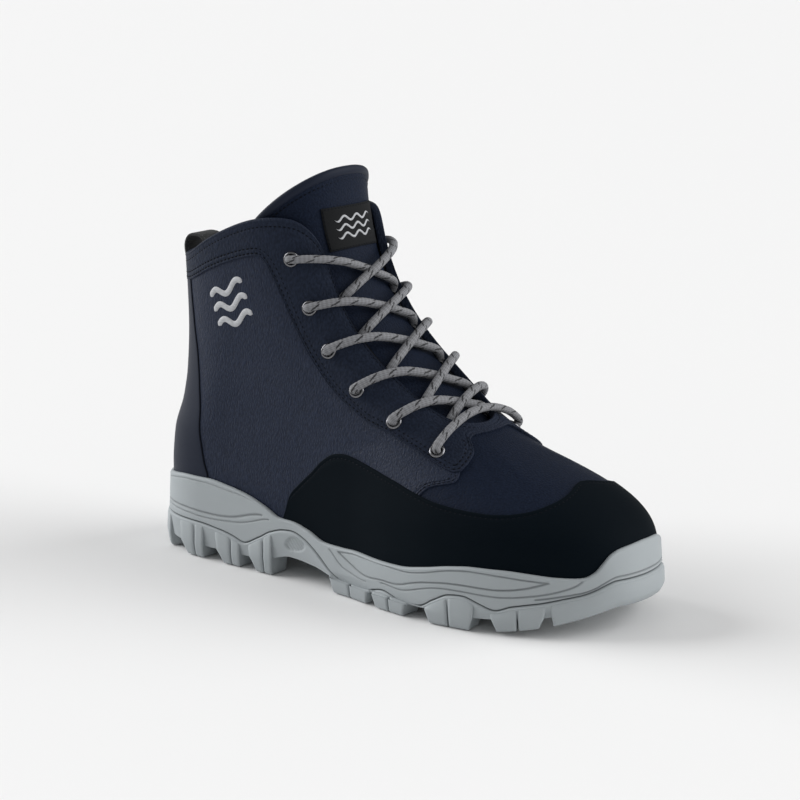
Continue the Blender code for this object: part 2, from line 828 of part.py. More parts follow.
def edge_lug(start, end, side):
    steps = max(3, int(round((end - start) * COLUMNS)) + 1)
    around = np.linspace(start, end, steps)
    if side > 0:
        around = 2 - around
    edge = ring_at(OUTLINE, around)
    out = ring_at(PLAN_OUT, around)
    out /= np.linalg.norm(out, axis=1)[:, None]
    over, under = 0.05 * HEEL_HEIGHT, -0.08 * HEEL_HEIGHT
    section = (
        (0.0016, GROUND, 0),
        (0.0, TREAD_BASE, 0),
        (0.0004, PARTING, under),
        (LUG_STRIP, PARTING, under),
        (LUG_STRIP + 0.001, TREAD_BASE, over),
        (LUG_DEPTH, TREAD_BASE, over),
        (LUG_DEPTH - 0.0015, GROUND, 0),
    )
    net = []
    for inset, line, lift in section:
        plan = edge - out * inset
        net.append(np.column_stack([plan, sole_z(plan[:, 0], line) + lift]))
    return tube(np.stack(net, 1))


def middle_lugs(cutters):
    """Tapered blocks with cut corners, from the ground line up into the tread base."""
    blocks = bmesh.new()
    for share, sideways, half_length, half_across, turn in MIDDLE_LUGS:
        block = bmesh.ops.create_cube(blocks, size=2.0)["verts"]
        upright = {e for v in block for e in v.link_edges if abs(e.verts[0].co.z - e.verts[1].co.z) > 1}
        before = set(blocks.verts) - set(block)
        bmesh.ops.bevel(blocks, geom=list(upright), offset=0.3, segments=1, affect="EDGES")
        angle = math.radians(turn)
        for vert in set(blocks.verts) - before:
            low = vert.co.z < 0
            taper = 0.88 if low else 1.0
            x = vert.co.x * LAST_LENGTH * half_length * taper
            y = vert.co.y * HALF_BALL * half_across * taper
            vert.co.x = HEEL_X + LAST_LENGTH * share + x * math.cos(angle) - y * math.sin(angle)
            vert.co.y = HALF_BALL * sideways + x * math.sin(angle) + y * math.cos(angle)
            lift = 0.0 if low else 0.05 * HEEL_HEIGHT
            vert.co.z = float(sole_z(vert.co.x, GROUND if low else TREAD_BASE)) + lift
    mesh = bpy.data.meshes.new("middle_lugs")
    blocks.to_mesh(mesh)
    blocks.free()
    return link("middle_lugs", mesh, cutters, None)


def tube(net):
    """Closed solid through rings of points [step, point]."""
    steps, count = net.shape[:2]
    faces = []
    for s in range(steps - 1):
        for i in range(count):
            n = (i + 1) % count
            faces.append((s * count + i, s * count + n, (s + 1) * count + n, (s + 1) * count + i))
    faces.append(tuple(range(count))[::-1])
    faces.append(tuple((steps - 1) * count + i for i in range(count)))
    return net.reshape(-1, 3), faces


# Upper and what is laid on it

def build_insole(home):
    depth = -(WALL + 0.0006)
    lift = INSOLE_THICK / COLUMN_LENGTH
    low = lifted(np.zeros((COUNT, 1)), depth)[:, 0]
    high = lifted(lift[:, None], depth)[:, 0]
    low[:, 2] = footbed_z(low[:, 0]) + GAP
    high[:, 2] = footbed_z(high[:, 0]) + GAP + INSOLE_THICK
    return solid_object("insole", *stacked([low, high]), home, "lining")


def build_upper(home):
    inner_side = np.arange(COUNT) >= COLUMNS
    return sheet_object("upper", SURFACE, True, inner_side, -WALL, home, "textile")


def overlay(name, columns, rows, trims, thickness, home, colour):
    """Sheet laid on the upper's own facets, over some columns of the ring and a band of rows.

    The trims are the lengths cut off at the band's lower and upper edge.
    """
    surface = SURFACE[columns][:, rows]
    direction = DIRECTION[columns][:, rows]
    for end, beside, trim in ((0, 1, trims[0]), (-1, -2, trims[1])):
        step = surface[:, beside] - surface[:, end]
        share = trim / np.linalg.norm(step, axis=1)[:, None]
        turn = direction[:, beside] - direction[:, end]
        surface[:, end] += step * share
        direction[:, end] += turn * share
    inner_side = np.array(columns) >= COLUMNS
    return sheet_object(name, surface + direction * GAP, False, inner_side, thickness, home, colour)


def columns_between(first, last):
    return [c % COUNT for c in range(first, last + 1)]


def build_overlays(home):
    band = slice(STAY_ROW, TOP_ROW + 1)
    columns = columns_between(STAY_COLUMN, COUNT - STAY_COLUMN)
    facing = overlay("eyestay", columns, band, (0, 0), STAY_THICK, home, "facing")
    band = slice(RIM_ROW, RAND_ROW + 1)
    columns = columns_between(RAND_COLUMN, COUNT - RAND_COLUMN)
    overlay("rand", columns, band, (3 * GAP, 0), RAND_THICK, home, "rand")
    band = slice(RIM_ROW, STAY_ROW + 1)
    columns = columns_between(-BACKSTAY_COLUMN, BACKSTAY_COLUMN)
    overlay("backstay", columns, band, (3 * GAP, 2 * GAP), BACKSTAY_THICK, home, "facing")
    return facing


# Tongue, label and laces follow the crown line

def across_crown(along, sideways, reach):
    """Surface points over the crown; sideways runs -1 to 1 over the given reach below the crown line."""
    place = along * (len(CROWN_LINE) - 1)
    index = np.arange(len(CROWN_LINE))
    start = np.stack([np.interp(place, index, CROWN_LINE[:, k]) for k in (0, 1)], -1)
    out = np.stack([np.interp(place, index, CROWN_OUT[:, k]) for k in (0, 1)], -1)
    spot = start - out * (reach * np.abs(sideways) ** ROUND_POWER)[..., None]
    x, z = spot[..., 0], spot[..., 1]
    return np.stack([x, centre_y(x, z) + np.sign(sideways) * half_width(x, z), z], -1)


def net_out(net):
    out = np.cross(np.gradient(net, axis=0), np.gradient(net, axis=1))
    out /= np.linalg.norm(out, axis=2)[..., None]
    return out if (out[..., 0] + out[..., 2]).sum() > 0 else -out


def tongue_net(along_low, along_high, sideways, rows):
    """Points and directions on the form under the tongue; along_high may vary across."""
    t = np.linspace(0, 1, rows)[:, None]
    along = along_low + (along_high - along_low) * t
    sideways = np.broadcast_to(sideways, along.shape)
    reach = HALF_BALL * monotone(TONGUE, 1, along)
    net = across_crown(along, sideways, reach)
    return net, net_out(net)


def build_tongue(home):
    sideways = np.linspace(-1, 1, 11)
    high = TONGUE_TOP + TONGUE_ARCH * (1 - np.abs(sideways) ** 2.2)
    net, out = tongue_net(np.full(11, TONGUE_LOW), high, sideways, 17)
    outer = np.swapaxes(net - out * TONGUE_INSET, 0, 1)
    return sheet_object("tongue", outer, False, sideways >= 0, -TONGUE_THICK, home, "textile")


def build_label(home):
    sideways = np.linspace(-0.40, 0.40, 7)
    net, out = tongue_net(np.full(7, 0.842), np.full(7, 0.912), sideways, 4)
    seat = np.swapaxes(net - out * (TONGUE_INSET - 2 * GAP), 0, 1)
    return sheet_object("tongue_label", seat, False, sideways >= 0, LABEL_THICK, home, "rand")


def crown_frame(along, sideways):
    """Point on the form at a place over the crown, with its outward direction."""
    step = 0.004
    spot = place_on_crown(along, sideways)
    up = place_on_crown(along + step, sideways) - place_on_crown(along - step, sideways)
    side = place_on_crown(along, sideways + 0.001) - place_on_crown(along, sideways - 0.001)
    out = np.cross(up, side)
    out /= np.linalg.norm(out, axis=-1)[..., None]
    return spot, np.where((out[..., 0] + out[..., 2] > 0)[..., None], out, -out)


def strand(name, run, along, far, lifts, points, home, colour):
    """Round lace along a run over the crown; lifts raise it over the outer and inner side's eyelets."""
    spot, out = crown_frame(along, run[:, 0] * far)
    height = run[:, 1] + np.where(run[:, 0] < 0, lifts[0], lifts[1]) * blend(0.6, 0.9, np.abs(run[:, 0]))
    path = spline(spot + out * height[:, None], points)
    curve = bpy.data.curves.new(name, "CURVE")
    curve.dimensions = "3D"
    curve.bevel_depth = LACE_RADIUS
    curve.bevel_resolution = 1
    curve.use_fill_caps = True
    line = curve.splines.new("POLY")
    line.points.add(points - 1)
    line.points.foreach_set("co", np.column_stack([path, np.ones(points)]).ravel())
    guide = link(name, curve, home, None)
    mesh = baked(guide)
    bpy.data.objects.remove(guide)
    body = bmesh.new()
    body.from_mesh(mesh)
    bmesh.ops.remove_doubles(body, verts=body.verts, dist=0.00001)
    bmesh.ops.recalc_face_normals(body, faces=body.faces)
    body.to_mesh(mesh)
    body.free()
    return link(name, mesh, home, colour)


def build_laces(home, cutters, lifts):
    """Bar between the lowest eyelets and the crossings above it; lifts is [side, eyelet]."""
    along = EYELETS[0, 0] + 0.024 * (1 - RUN_BAR[:, 0] ** 2)
    strand("lace_bar", RUN_BAR, along, HALF_BALL * EYELETS[0, 1], lifts[:, 0], 11, home, "lace")
    for i in range(len(EYELETS) - 1):
        low_along, low_far = EYELETS[i] if i else LOWEST_CROSSING
        high_along, high_far = EYELETS[i + 1]
        strands = []
        for name, run, place in (("lace_cross", RUN_UNDER, home), ("lace_over", RUN_OVER, cutters)):
            t = (run[:, 0] - run[0, 0]) / (run[-1, 0] - run[0, 0])
            t = 1 - t if run is RUN_UNDER else t
            along = low_along + (high_along - low_along) * t
            far = HALF_BALL * (low_far + (high_far - low_far) * t)
            colour = "lace" if place is home else None
            name = "%s_%d" % (name, i + 1)
            strands.append(strand(name, run, along, far, lifts[:, i + 1], 10, place, colour))
        boolean(*strands, "UNION")


def seat_height(spot, out, net, reach):
    """Highest place of a net under an eyelet's flange, along the eyelet's axis."""
    for axis in (0, 1):
        net = np.moveaxis(net, axis, 0)
        t = np.arange(0, len(net) - 1, 0.2)
        low = t.astype(int)
        part = (t - low)[:, None, None]
        net = np.moveaxis(net[low] * (1 - part) + net[low + 1] * part, 0, axis)
    offset = net.reshape(-1, 3) - spot
    height = offset @ out
    away = np.linalg.norm(offset - height[:, None] * out, axis=1)
    near = (away < reach) & (np.abs(height) < reach)
    return height[near].max()


def eyelet_places():
    """Name, point, direction and seat height of each eyelet."""
    facing = SURFACE[:, STAY_ROW:] + DIRECTION[:, STAY_ROW:] * STAY_TOP
    places = []
    for word, side in (("lat", -1), ("med", 1)):
        spot, out = crown_frame(EYELETS[:, 0], side * HALF_BALL * EYELETS[:, 1])
        for i in range(len(EYELETS)):
            seat = seat_height(spot[i], out[i], facing, 0.0065)
            places.append(("eyelet_%s_%d" % (word, i + 1), spot[i], out[i], seat))
    share = np.full((COUNT, 1), DRAIN_UP)
    points, out = along_columns(share)
    place = [2 - DRAIN_AROUND]
    spot, out = ring_at(points[:, 0], place)[0], ring_at(out[:, 0], place)[0]
    places.append(("drain_eyelet", spot, out, seat_height(spot, out, SURFACE[:, :STAY_ROW], 0.006)))
    return places


def eyelet(name, spot, out, seat, home):
    """Ring turned from its profile by a Screw modifier and stood on the surface."""
    profile = EYELET_RING.copy()
    profile[:, 1] += seat
    profile[[0, -1], 1] = -WALL + GAP
    mesh = bpy.data.meshes.new(name)
    count = len(profile)
    edges = [(i, (i + 1) % count) for i in range(count)]
    mesh.from_pydata([(r, 0.0, h) for r, h in profile[::-1]], edges, [])
    made = link(name, mesh, home, "metal")
    made.location = spot
    made.rotation_mode = "QUATERNION"
    made.rotation_quaternion = Vector(out).to_track_quat("Z", "Y")
    turn = made.modifiers.new("turn", "SCREW")
    turn.steps = turn.render_steps = EYELET_SIDES
    turn.use_merge_vertices = True
    turn.merge_threshold = 0.00001
    return made


def build_eyelets(home, cutters, places, targets):
    holes = bmesh.new()
    for name, spot, out, seat in places:
        made = eyelet(name, spot, out, seat, home)
        stand = made.rotation_quaternion.to_matrix().to_4x4()
        stand.translation = spot
        bmesh.ops.create_cone(
            holes, cap_ends=True, segments=EYELET_SIDES, radius1=HOLE_RADIUS, radius2=HOLE_RADIUS,
            depth=0.014, matrix=stand)
    mesh = bpy.data.meshes.new("holes")
    holes.to_mesh(mesh)
    holes.free()
    cutter = link("holes", mesh, cutters, None)
    for target in targets:
        boolean(target, cutter, "DIFFERENCE")


def build_loop(home):
    base = back_x(COLLAR_HEIGHT)
    path = np.column_stack([base + COLLAR_HEIGHT * LOOP[:, 0], COLLAR_HEIGHT * (1 + LOOP[:, 1])])
    path = spline(path, LOOP_STEPS)
    sideways = np.array([-0.5, 0.5]) * LOOP_WIDTH
    net = np.array([[(x, y, z) for y in sideways] for x, z in path])
    return sheet_object("pull_loop", net, False, np.zeros(len(path)), LOOP_THICK, home, "rand")


def build():
    clear_scene()
    home = collection(NODE)
    cutters = collection("cutters", hidden=True)
    build_midsole(home)
    build_outsole(home, cutters)
    build_insole(home)
    upper = build_upper(home)
    facing = build_overlays(home)
    build_tongue(home)
    build_label(home)
    build_loop(home)
    places = eyelet_places()
    seats = np.array([seat for _, _, _, seat in places[:-1]]).reshape(2, len(EYELETS))
    build_laces(home, cutters, seats - STAY_TOP)
    build_eyelets(home, cutters, places, [upper, facing])
    for item in cutters.objects:
        item.display_type = "WIRE"
        item.hide_render = True


build()
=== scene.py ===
"""Looks of the wading boot: finishes, stitching, laces, lugs, light and camera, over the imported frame."""
import math

import bmesh
import bpy
import numpy as np
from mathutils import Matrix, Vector


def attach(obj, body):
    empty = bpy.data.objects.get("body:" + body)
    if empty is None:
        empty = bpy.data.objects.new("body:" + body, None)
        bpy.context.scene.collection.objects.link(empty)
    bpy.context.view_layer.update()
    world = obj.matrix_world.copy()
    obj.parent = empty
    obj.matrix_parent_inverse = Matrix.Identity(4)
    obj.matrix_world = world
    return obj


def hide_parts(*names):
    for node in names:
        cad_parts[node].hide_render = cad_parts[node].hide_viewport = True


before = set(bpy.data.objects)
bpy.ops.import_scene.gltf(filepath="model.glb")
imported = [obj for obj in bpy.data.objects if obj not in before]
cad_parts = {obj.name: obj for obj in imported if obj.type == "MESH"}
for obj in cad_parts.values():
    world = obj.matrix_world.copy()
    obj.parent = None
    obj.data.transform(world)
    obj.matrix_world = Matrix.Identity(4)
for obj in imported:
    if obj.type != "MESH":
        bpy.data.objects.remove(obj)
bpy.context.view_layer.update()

# Named sizes, metres
SOLE_LENGTH = 0.312
BALL_WIDTH = 0.116
COLLAR_HEIGHT = 0.168
FLARE = 0.006
LUG_PROUD = 0.0012
WALL = 0.0028
GAP = 0.0003

LAST_LENGTH = SOLE_LENGTH - 2 * FLARE
HALF_BALL = BALL_WIDTH / 2 - 0.8 * FLARE
HEEL_X = -LAST_LENGTH / 2
TOE_X = LAST_LENGTH / 2

# share of length, centre and half width as shares of half the ball
PLAN = np.array([
    (0.00, 0.00, 0.72),
    (0.10, 0.00, 0.74),
    (0.22, -0.01, 0.75),
    (0.36, -0.03, 0.75),
    (0.50, -0.04, 0.82),
    (0.62, -0.04, 0.95),
    (0.72, -0.013, 1.01),
    (0.82, 0.04, 1.00),
    (0.91, 0.09, 0.97),
    (1.00, 0.12, 0.94),
])
# crown line of instep and shin: share of length, share of collar height
CROWN = np.array([
    (1.080, 0.400),
    (1.000, 0.405),
    (0.930, 0.418),
    (0.860, 0.442),
    (0.770, 0.490),
    (0.690, 0.558),
    (0.615, 0.652),
    (0.530, 0.775),
    (0.462, 0.910),
    (0.422, 1.050),
    (0.402, 1.190),
    (0.395, 1.400),
])
# share of collar height, back line as share of length, half width as share of half the ball
LEVELS = np.array([
    (0.00, 0.012, 0.72),
    (0.18, 0.006, 0.73),
    (0.28, 0.002, 0.74),
    (0.40, 0.010, 0.76),
    (0.52, 0.034, 0.77),
    (0.62, 0.044, 0.78),
    (0.80, 0.048, 0.79),
    (1.00, 0.046, 0.81),
    (1.40, 0.040, 0.84),
])
# share of length, footbed height as share of collar height
FOOTBED = np.array([
    (0.00, 0.182),
    (0.20, 0.176),
    (0.40, 0.134),
    (0.60, 0.107),
    (0.75, 0.103),
    (0.88, 0.116),
    (1.00, 0.152),
])
# line inside the form that it is measured from: share of length, share of collar height
CORE = np.array([
    (0.82, 0.26),
    (0.72, 0.28),
    (0.62, 0.33),
    (0.52, 0.42),
    (0.43, 0.54),
    (0.35, 0.70),
    (0.29, 0.90),
    (0.25, 1.15),
    (0.23, 1.50),
])
# top edge along the collar: share of length, share of collar height
COLLAR = np.array([
    (0.046, 1.000),
    (0.110, 1.015),
    (0.162, 1.064),
    (0.228, 1.121),
    (0.292, 1.158),
    (0.330, 1.163),
])
# top edge down the throat: share along the crown line, half gap as share of half the ball
THROAT = np.array([
    (0.872, 0.650),
    (0.858, 0.575),
    (0.838, 0.515),
    (0.812, 0.480),
    (0.770, 0.470),
    (0.715, 0.475),
    (0.650, 0.480),
    (0.585, 0.470),
    (0.520, 0.440),
    (0.465, 0.390),
    (0.428, 0.290),
    (0.412, 0.160),
    (0.406, 0.000),
])
TOE_ROUND = 0.25 * LAST_LENGTH
HEEL_ROUND = 0.80 * HALF_BALL
SHAFT_ROUND = 1.02 * HALF_BALL
CROWN_ROUND_TOE = 0.62 * HALF_BALL
CROWN_ROUND_SHIN = 0.95 * HALF_BALL
ROUND_POWER = 2.3
CORNER_POWER = 2.4


def unit(vectors):
    return vectors / np.linalg.norm(vectors, axis=-1)[..., None]


def run_along(points):
    """Distance along a line of points to each of them."""
    return np.concatenate([[0], np.cumsum(np.linalg.norm(np.diff(points, axis=0), axis=1))])


def monotone(table, column, at):
    """Smooth curve through a table's rows with no overshoot."""
    xs = table[:, 0]
    ys = table[:, column]
    at = np.asarray(at, float)
    step = np.diff(xs)
    slope = np.diff(ys) / step
    tangent = np.empty_like(ys)
    tangent[0] = slope[0]
    tangent[-1] = slope[-1]
    before = 2 * step[1:] + step[:-1]
    after = step[1:] + 2 * step[:-1]
    rising = slope[:-1] * slope[1:] > 0
    safe = np.where(rising, slope[:-1], 1.0)
    safe_next = np.where(rising, slope[1:], 1.0)
    tangent[1:-1] = np.where(rising, (before + after) / (before / safe + after / safe_next), 0.0)
    k = np.clip(np.searchsorted(xs, at) - 1, 0, len(step) - 1)
    t = np.clip((at - xs[k]) / step[k], 0, 1)
    return ((1 + 2 * t) * (1 - t) ** 2 * ys[k] + t * (1 - t) ** 2 * step[k] * tangent[k]
            + t * t * (3 - 2 * t) * ys[k + 1] + t * t * (t - 1) * step[k] * tangent[k + 1])


def blend(low, high, at):
    t = np.clip((np.asarray(at, float) - low) / (high - low), 0, 1)
    return t * t * (3 - 2 * t)


def spline(knots, count, closed=False):
    """Even points on a smooth curve through the knots."""
    knots = np.asarray(knots, float)
    if closed:
        knots = np.vstack([knots[-4:-1], knots, knots[1:4]])
    run = run_along(knots)
    n = len(run)
    step = np.diff(run)
    matrix = np.eye(n)
    right = np.zeros_like(knots)
    for i in range(1, n - 1):
        matrix[i, i - 1:i + 2] = step[i - 1], 2 * (step[i - 1] + step[i]), step[i]
        right[i] = 6 * ((knots[i + 1] - knots[i]) / step[i] - (knots[i] - knots[i - 1]) / step[i - 1])
    bend = np.linalg.solve(matrix, right)
    first, last = (run[3], run[-4]) if closed else (run[0], run[-1])
    at = np.linspace(first, last, max(count, 400))
    k = np.clip(np.searchsorted(run, at) - 1, 0, n - 2)
    h = step[k][:, None]
    a = (run[k + 1] - at)[:, None]
    b = (at - run[k])[:, None]
    points = ((bend[k] * a ** 3 + bend[k + 1] * b ** 3) / (6 * h)
              + (knots[k] / h - bend[k] * h / 6) * a + (knots[k + 1] / h - bend[k + 1] * h / 6) * b)
    return even(points, count)


def even(points, count):
    run = run_along(points)
    at = np.linspace(0, run[-1], count)
    return np.stack([np.interp(at, run, points[:, i]) for i in range(points.shape[1])], 1)


def side_view(table):
    return np.column_stack([HEEL_X + LAST_LENGTH * table[:, 0], COLLAR_HEIGHT * table[:, 1]])


CROWN_LINE = spline(side_view(CROWN), 300)
CROWN_OUT = unit(np.gradient(CROWN_LINE, axis=0)[:, ::-1] * [1, -1])
CORE_LINE = spline(side_view(CORE), 200)


def nearest(line, x, z):
    """Nearest place on a side-view line: distance vectors, distance and share along it."""
    spots = np.column_stack([np.ravel(x), np.ravel(z)])
    start = line[:-1]
    along = line[1:] - start
    square = (along ** 2).sum(1)
    offset = np.empty((len(spots), 2))
    where = np.empty(len(spots))
    for low in range(0, len(spots), 5000):
        part = spots[low:low + 5000]
        t = np.clip(((part[:, None] - start) * along).sum(2) / square, 0, 1)
        gap = start + along * t[..., None] - part[:, None]
        k = (gap ** 2).sum(2).argmin(1)
        row = np.arange(len(part))
        offset[low:low + 5000] = gap[row, k]
        where[low:low + 5000] = (k + t[row, k]) / (len(line) - 1)
    return offset, where


def crown_depth(x, z):
    x, z = np.broadcast_arrays(np.asarray(x, float), np.asarray(z, float))
    offset, where = nearest(CROWN_LINE, x, z)
    k = np.rint(where * (len(CROWN_LINE) - 1)).astype(int)
    sign = np.sign((offset * CROWN_OUT[k]).sum(1))
    return (np.linalg.norm(offset, axis=1) * sign).reshape(x.shape), where.reshape(x.shape)


def share_of_length(x):
    return np.clip((np.asarray(x, float) - HEEL_X) / LAST_LENGTH, 0, 1)


def footbed_z(x):
    return COLLAR_HEIGHT * monotone(FOOTBED, 1, share_of_length(x))


def back_x(z):
    return HEEL_X + LAST_LENGTH * monotone(LEVELS, 1, np.clip(z / COLLAR_HEIGHT, 0, 1.4))


def centre_y(x, z):
    low = 1 - blend(0.42 * COLLAR_HEIGHT, 0.72 * COLLAR_HEIGHT, z)
    return HALF_BALL * monotone(PLAN, 1, share_of_length(x)) * low


def roundness(q):
    return (1 - (1 - np.clip(q, 0, 1)) ** ROUND_POWER) ** (1 / ROUND_POWER)


def outline_share(x, z):
    """0 inside the form's side view, 1 on its outline over toe, instep and shin."""
    depth, along = crown_depth(x, z)
    reach = CROWN_ROUND_TOE + (CROWN_ROUND_SHIN - CROWN_ROUND_TOE) * blend(0.25, 0.75, along)
    top = np.clip(1 - depth / reach, 0, None)
    toe = np.clip(1 - (TOE_X - x) / TOE_ROUND, 0, None)
    return (top ** CORNER_POWER + toe ** CORNER_POWER) ** (1 / CORNER_POWER)


def half_width(x, z):
    """Distance from the form's middle to its surface, level with the ground and across the foot."""
    x, z = np.broadcast_arrays(np.asarray(x, float), np.asarray(z, float))
    foot = monotone(PLAN, 2, share_of_length(x))
    shaft = monotone(LEVELS, 2, np.clip(z / COLLAR_HEIGHT, 0, 1.4))
    full = HALF_BALL * (foot + (shaft - foot) * blend(0.27 * COLLAR_HEIGHT, 0.60 * COLLAR_HEIGHT, z))
    heel = HEEL_ROUND + (SHAFT_ROUND - HEEL_ROUND) * blend(0.36 * COLLAR_HEIGHT, 0.78 * COLLAR_HEIGHT, z)
    return full * roundness(1 - outline_share(x, z)) * roundness((x - back_x(z)) / heel)


def on_form(points):
    """Moves points along rays from the core line onto the form's surface."""
    points = np.asarray(points, float)
    shape = points.shape
    points = points.reshape(-1, 3)
    offset, _ = nearest(CORE_LINE, points[:, 0], points[:, 2])
    core_x = points[:, 0] + offset[:, 0]
    core_z = points[:, 2] + offset[:, 1]
    core = np.column_stack([core_x, centre_y(core_x, core_z), core_z])
    ray = points - core
    low = np.zeros(len(points))
    high = np.full(len(points), 2.2)
    for _ in range(22):
        middle = (low + high) / 2
        spot = core + ray * middle[:, None]
        away = np.abs(spot[:, 1] - centre_y(spot[:, 0], spot[:, 2]))
        width = half_width(spot[:, 0], spot[:, 2])
        inside = (away <= width + 1e-7) & (outline_share(spot[:, 0], spot[:, 2]) < 1)
        inside &= spot[:, 0] > back_x(spot[:, 2])
        low = np.where(inside, middle, low)
        high = np.where(inside, high, middle)
    return (core + ray * low[:, None]).reshape(shape)


def on_crown_line(along):
    """Point and outward direction of the crown line at shares along it."""
    at = along * (len(CROWN_LINE) - 1)
    index = np.arange(len(CROWN_LINE))
    start = np.stack([np.interp(at, index, CROWN_LINE[:, i]) for i in (0, 1)], -1)
    out = np.stack([np.interp(at, index, CROWN_OUT[:, i]) for i in (0, 1)], -1)
    return start, out


def crown_spot(along, away):
    """Side-view place where the surface is the given distance from the middle."""
    along = np.asarray(along, float)
    away = np.abs(np.asarray(away, float))
    start, out = on_crown_line(along)
    low = np.full(along.shape, -0.2 * HALF_BALL)
    high = np.full(along.shape, CROWN_ROUND_SHIN)
    for _ in range(24):
        middle = (low + high) / 2
        spot = start - out * middle[..., None]
        x, z = spot[..., 0], spot[..., 1]
        narrow = (half_width(x, z) < away) | (outline_share(x, z) >= 1)
        low = np.where(narrow, middle, low)
        high = np.where(narrow, high, middle)
    return start - out * high[..., None]


def place_on_crown(along, sideways):
    """Point on the form's surface at a share along the crown line, a signed distance off its middle."""
    spot = crown_spot(along, sideways)
    y = centre_y(spot[..., 0], spot[..., 1]) + sideways
    return np.stack([spot[..., 0], y, spot[..., 1]], -1)


def feather_line(count):
    """The form's lower edge, from heel to toe, as side-view place and distance off the middle."""
    z = footbed_z(TOE_X) + GAP
    low, high = TOE_X - TOE_ROUND, TOE_X
    for _ in range(30):
        middle = (low + high) / 2
        low, high = (middle, high) if outline_share(middle, z) < 1 else (low, middle)
    heel = back_x(footbed_z(HEEL_X) + GAP)
    x = heel + (low - heel) * (1 - np.cos(np.linspace(0, math.pi, 1200))) / 2
    z = footbed_z(x) + GAP
    return even(np.column_stack([x, half_width(x, z), z]), count)


def toe_profile(end):
    """Middle line from the toe's lower edge back to a place on the crown line."""
    low_edge = feather_line(3)[-1]
    centre = np.array([TOE_X - TOE_ROUND, low_edge[2]])
    aim = end - centre
    angles = np.linspace(0, math.atan2(aim[1], aim[0]), 240)
    ray = np.column_stack([np.cos(angles), np.sin(angles)])
    low = np.zeros(len(angles))
    high = np.full(len(angles), 2 * TOE_ROUND)
    for _ in range(30):
        middle = (low + high) / 2
        spot = centre + ray * middle[:, None]
        inside = outline_share(spot[:, 0], spot[:, 1]) < 1
        low = np.where(inside, middle, low)
        high = np.where(inside, high, middle)
    return centre + ray * low[:, None]


def top_edge(count):
    """Collar and throat edge from the back to the throat's lower end, as one even line."""
    collar = side_view(COLLAR)
    collar = np.column_stack([collar[:, 0], half_width(collar[:, 0], collar[:, 1]), collar[:, 1]])
    collar[0, 1] = 0
    spot = crown_spot(THROAT[:, 0], HALF_BALL * THROAT[:, 1])
    throat = np.column_stack([spot[:, 0], HALF_BALL * THROAT[:, 1], spot[:, 1]])
    half = np.vstack([collar, throat])
    whole = np.vstack([half, half[-2::-1] * [1, -1, 1]])
    return spline(whole, 2 * count - 1, closed=True)[:count]


def form_grid(columns, rows):
    """Surface points [side, column, row, xyz]: columns run heel to toe, rows feather to top edge."""
    feather = feather_line(columns)
    top = top_edge(columns)
    z = np.linspace(feather[0, 2], top[0, 2], 200)
    back = even(np.column_stack([back_x(z), z]), rows)
    toe = even(toe_profile(top[-1, [0, 2]]), rows)
    w = np.linspace(0, 1, columns)[:, None, None]
    t = np.linspace(0, 1, rows)[None, :, None]
    sides = []
    for side in (-1, 1):
        low = off_middle(feather, side)[:, None]
        high = off_middle(top, side)[:, None]
        start = off_middle(np.insert(back, 1, 0, axis=1), side)[None]
        end = off_middle(np.insert(toe, 1, 0, axis=1), side)[None]
        corners = (1 - t) * ((1 - w) * low[0] + w * low[-1]) + t * ((1 - w) * high[0] + w * high[-1])
        net = (1 - t) * low + t * high + (1 - w) * start + w * end - corners
        sides.append(on_form(net))
    return np.array(sides)


def off_middle(points, side):
    points = np.array(points, float)
    points[:, 1] = centre_y(points[:, 0], points[:, 2]) + side * points[:, 1]
    return points


# Sizes and tables of the parts that the pieces dress

CUP = 0.0030
HEEL_HEIGHT = 0.030
TONGUE_THICK = 0.0030
TONGUE_INSET = WALL + 0.0013
# share of length, then ground, tread base, plate and parting line as shares of the heel's height
SOLE = np.array([
    (0.00, 0.15, 0.32, 0.43, 0.50),
    (0.04, 0.00, 0.25, 0.38, 0.47),
    (0.10, 0.00, 0.23, 0.37, 0.42),
    (0.16, 0.00, 0.23, 0.37, 0.39),
    (0.22, 0.00, 0.23, 0.37, 0.44),
    (0.30, 0.00, 0.28, 0.42, 0.66),
    (0.36, 0.00, 0.42, 0.54, 0.70),
    (0.42, 0.00, 0.37, 0.50, 0.58),
    (0.48, 0.00, 0.25, 0.38, 0.39),
    (0.54, 0.00, 0.23, 0.35, 0.42),
    (0.60, 0.00, 0.23, 0.35, 0.53),
    (0.66, 0.00, 0.23, 0.35, 0.42),
    (0.72, 0.00, 0.23, 0.35, 0.36),
    (0.78, 0.00, 0.23, 0.35, 0.43),
    (0.84, 0.05, 0.26, 0.38, 0.42),
    (0.90, 0.15, 0.33, 0.45, 0.50),
    (0.96, 0.33, 0.48, 0.59, 0.67),
    (1.00, 0.50, 0.63, 0.72, 0.87),
])
GROUND, TREAD_BASE, PLATE, PARTING = 1, 2, 3, 4
# edge lugs: start and end on the way round from heel to toe
EDGE_LUGS = (
    (0.020, 0.105),
    (0.156, 0.190),
    (0.234, 0.268),
    (0.304, 0.336),
    (0.470, 0.545),
    (0.567, 0.624),
    (0.672, 0.738),
    (0.778, 0.838),
)
TOE_LUG = 0.856
LUG_DEPTH = 0.27 * HALF_BALL
LUG_STRIP = 0.0025
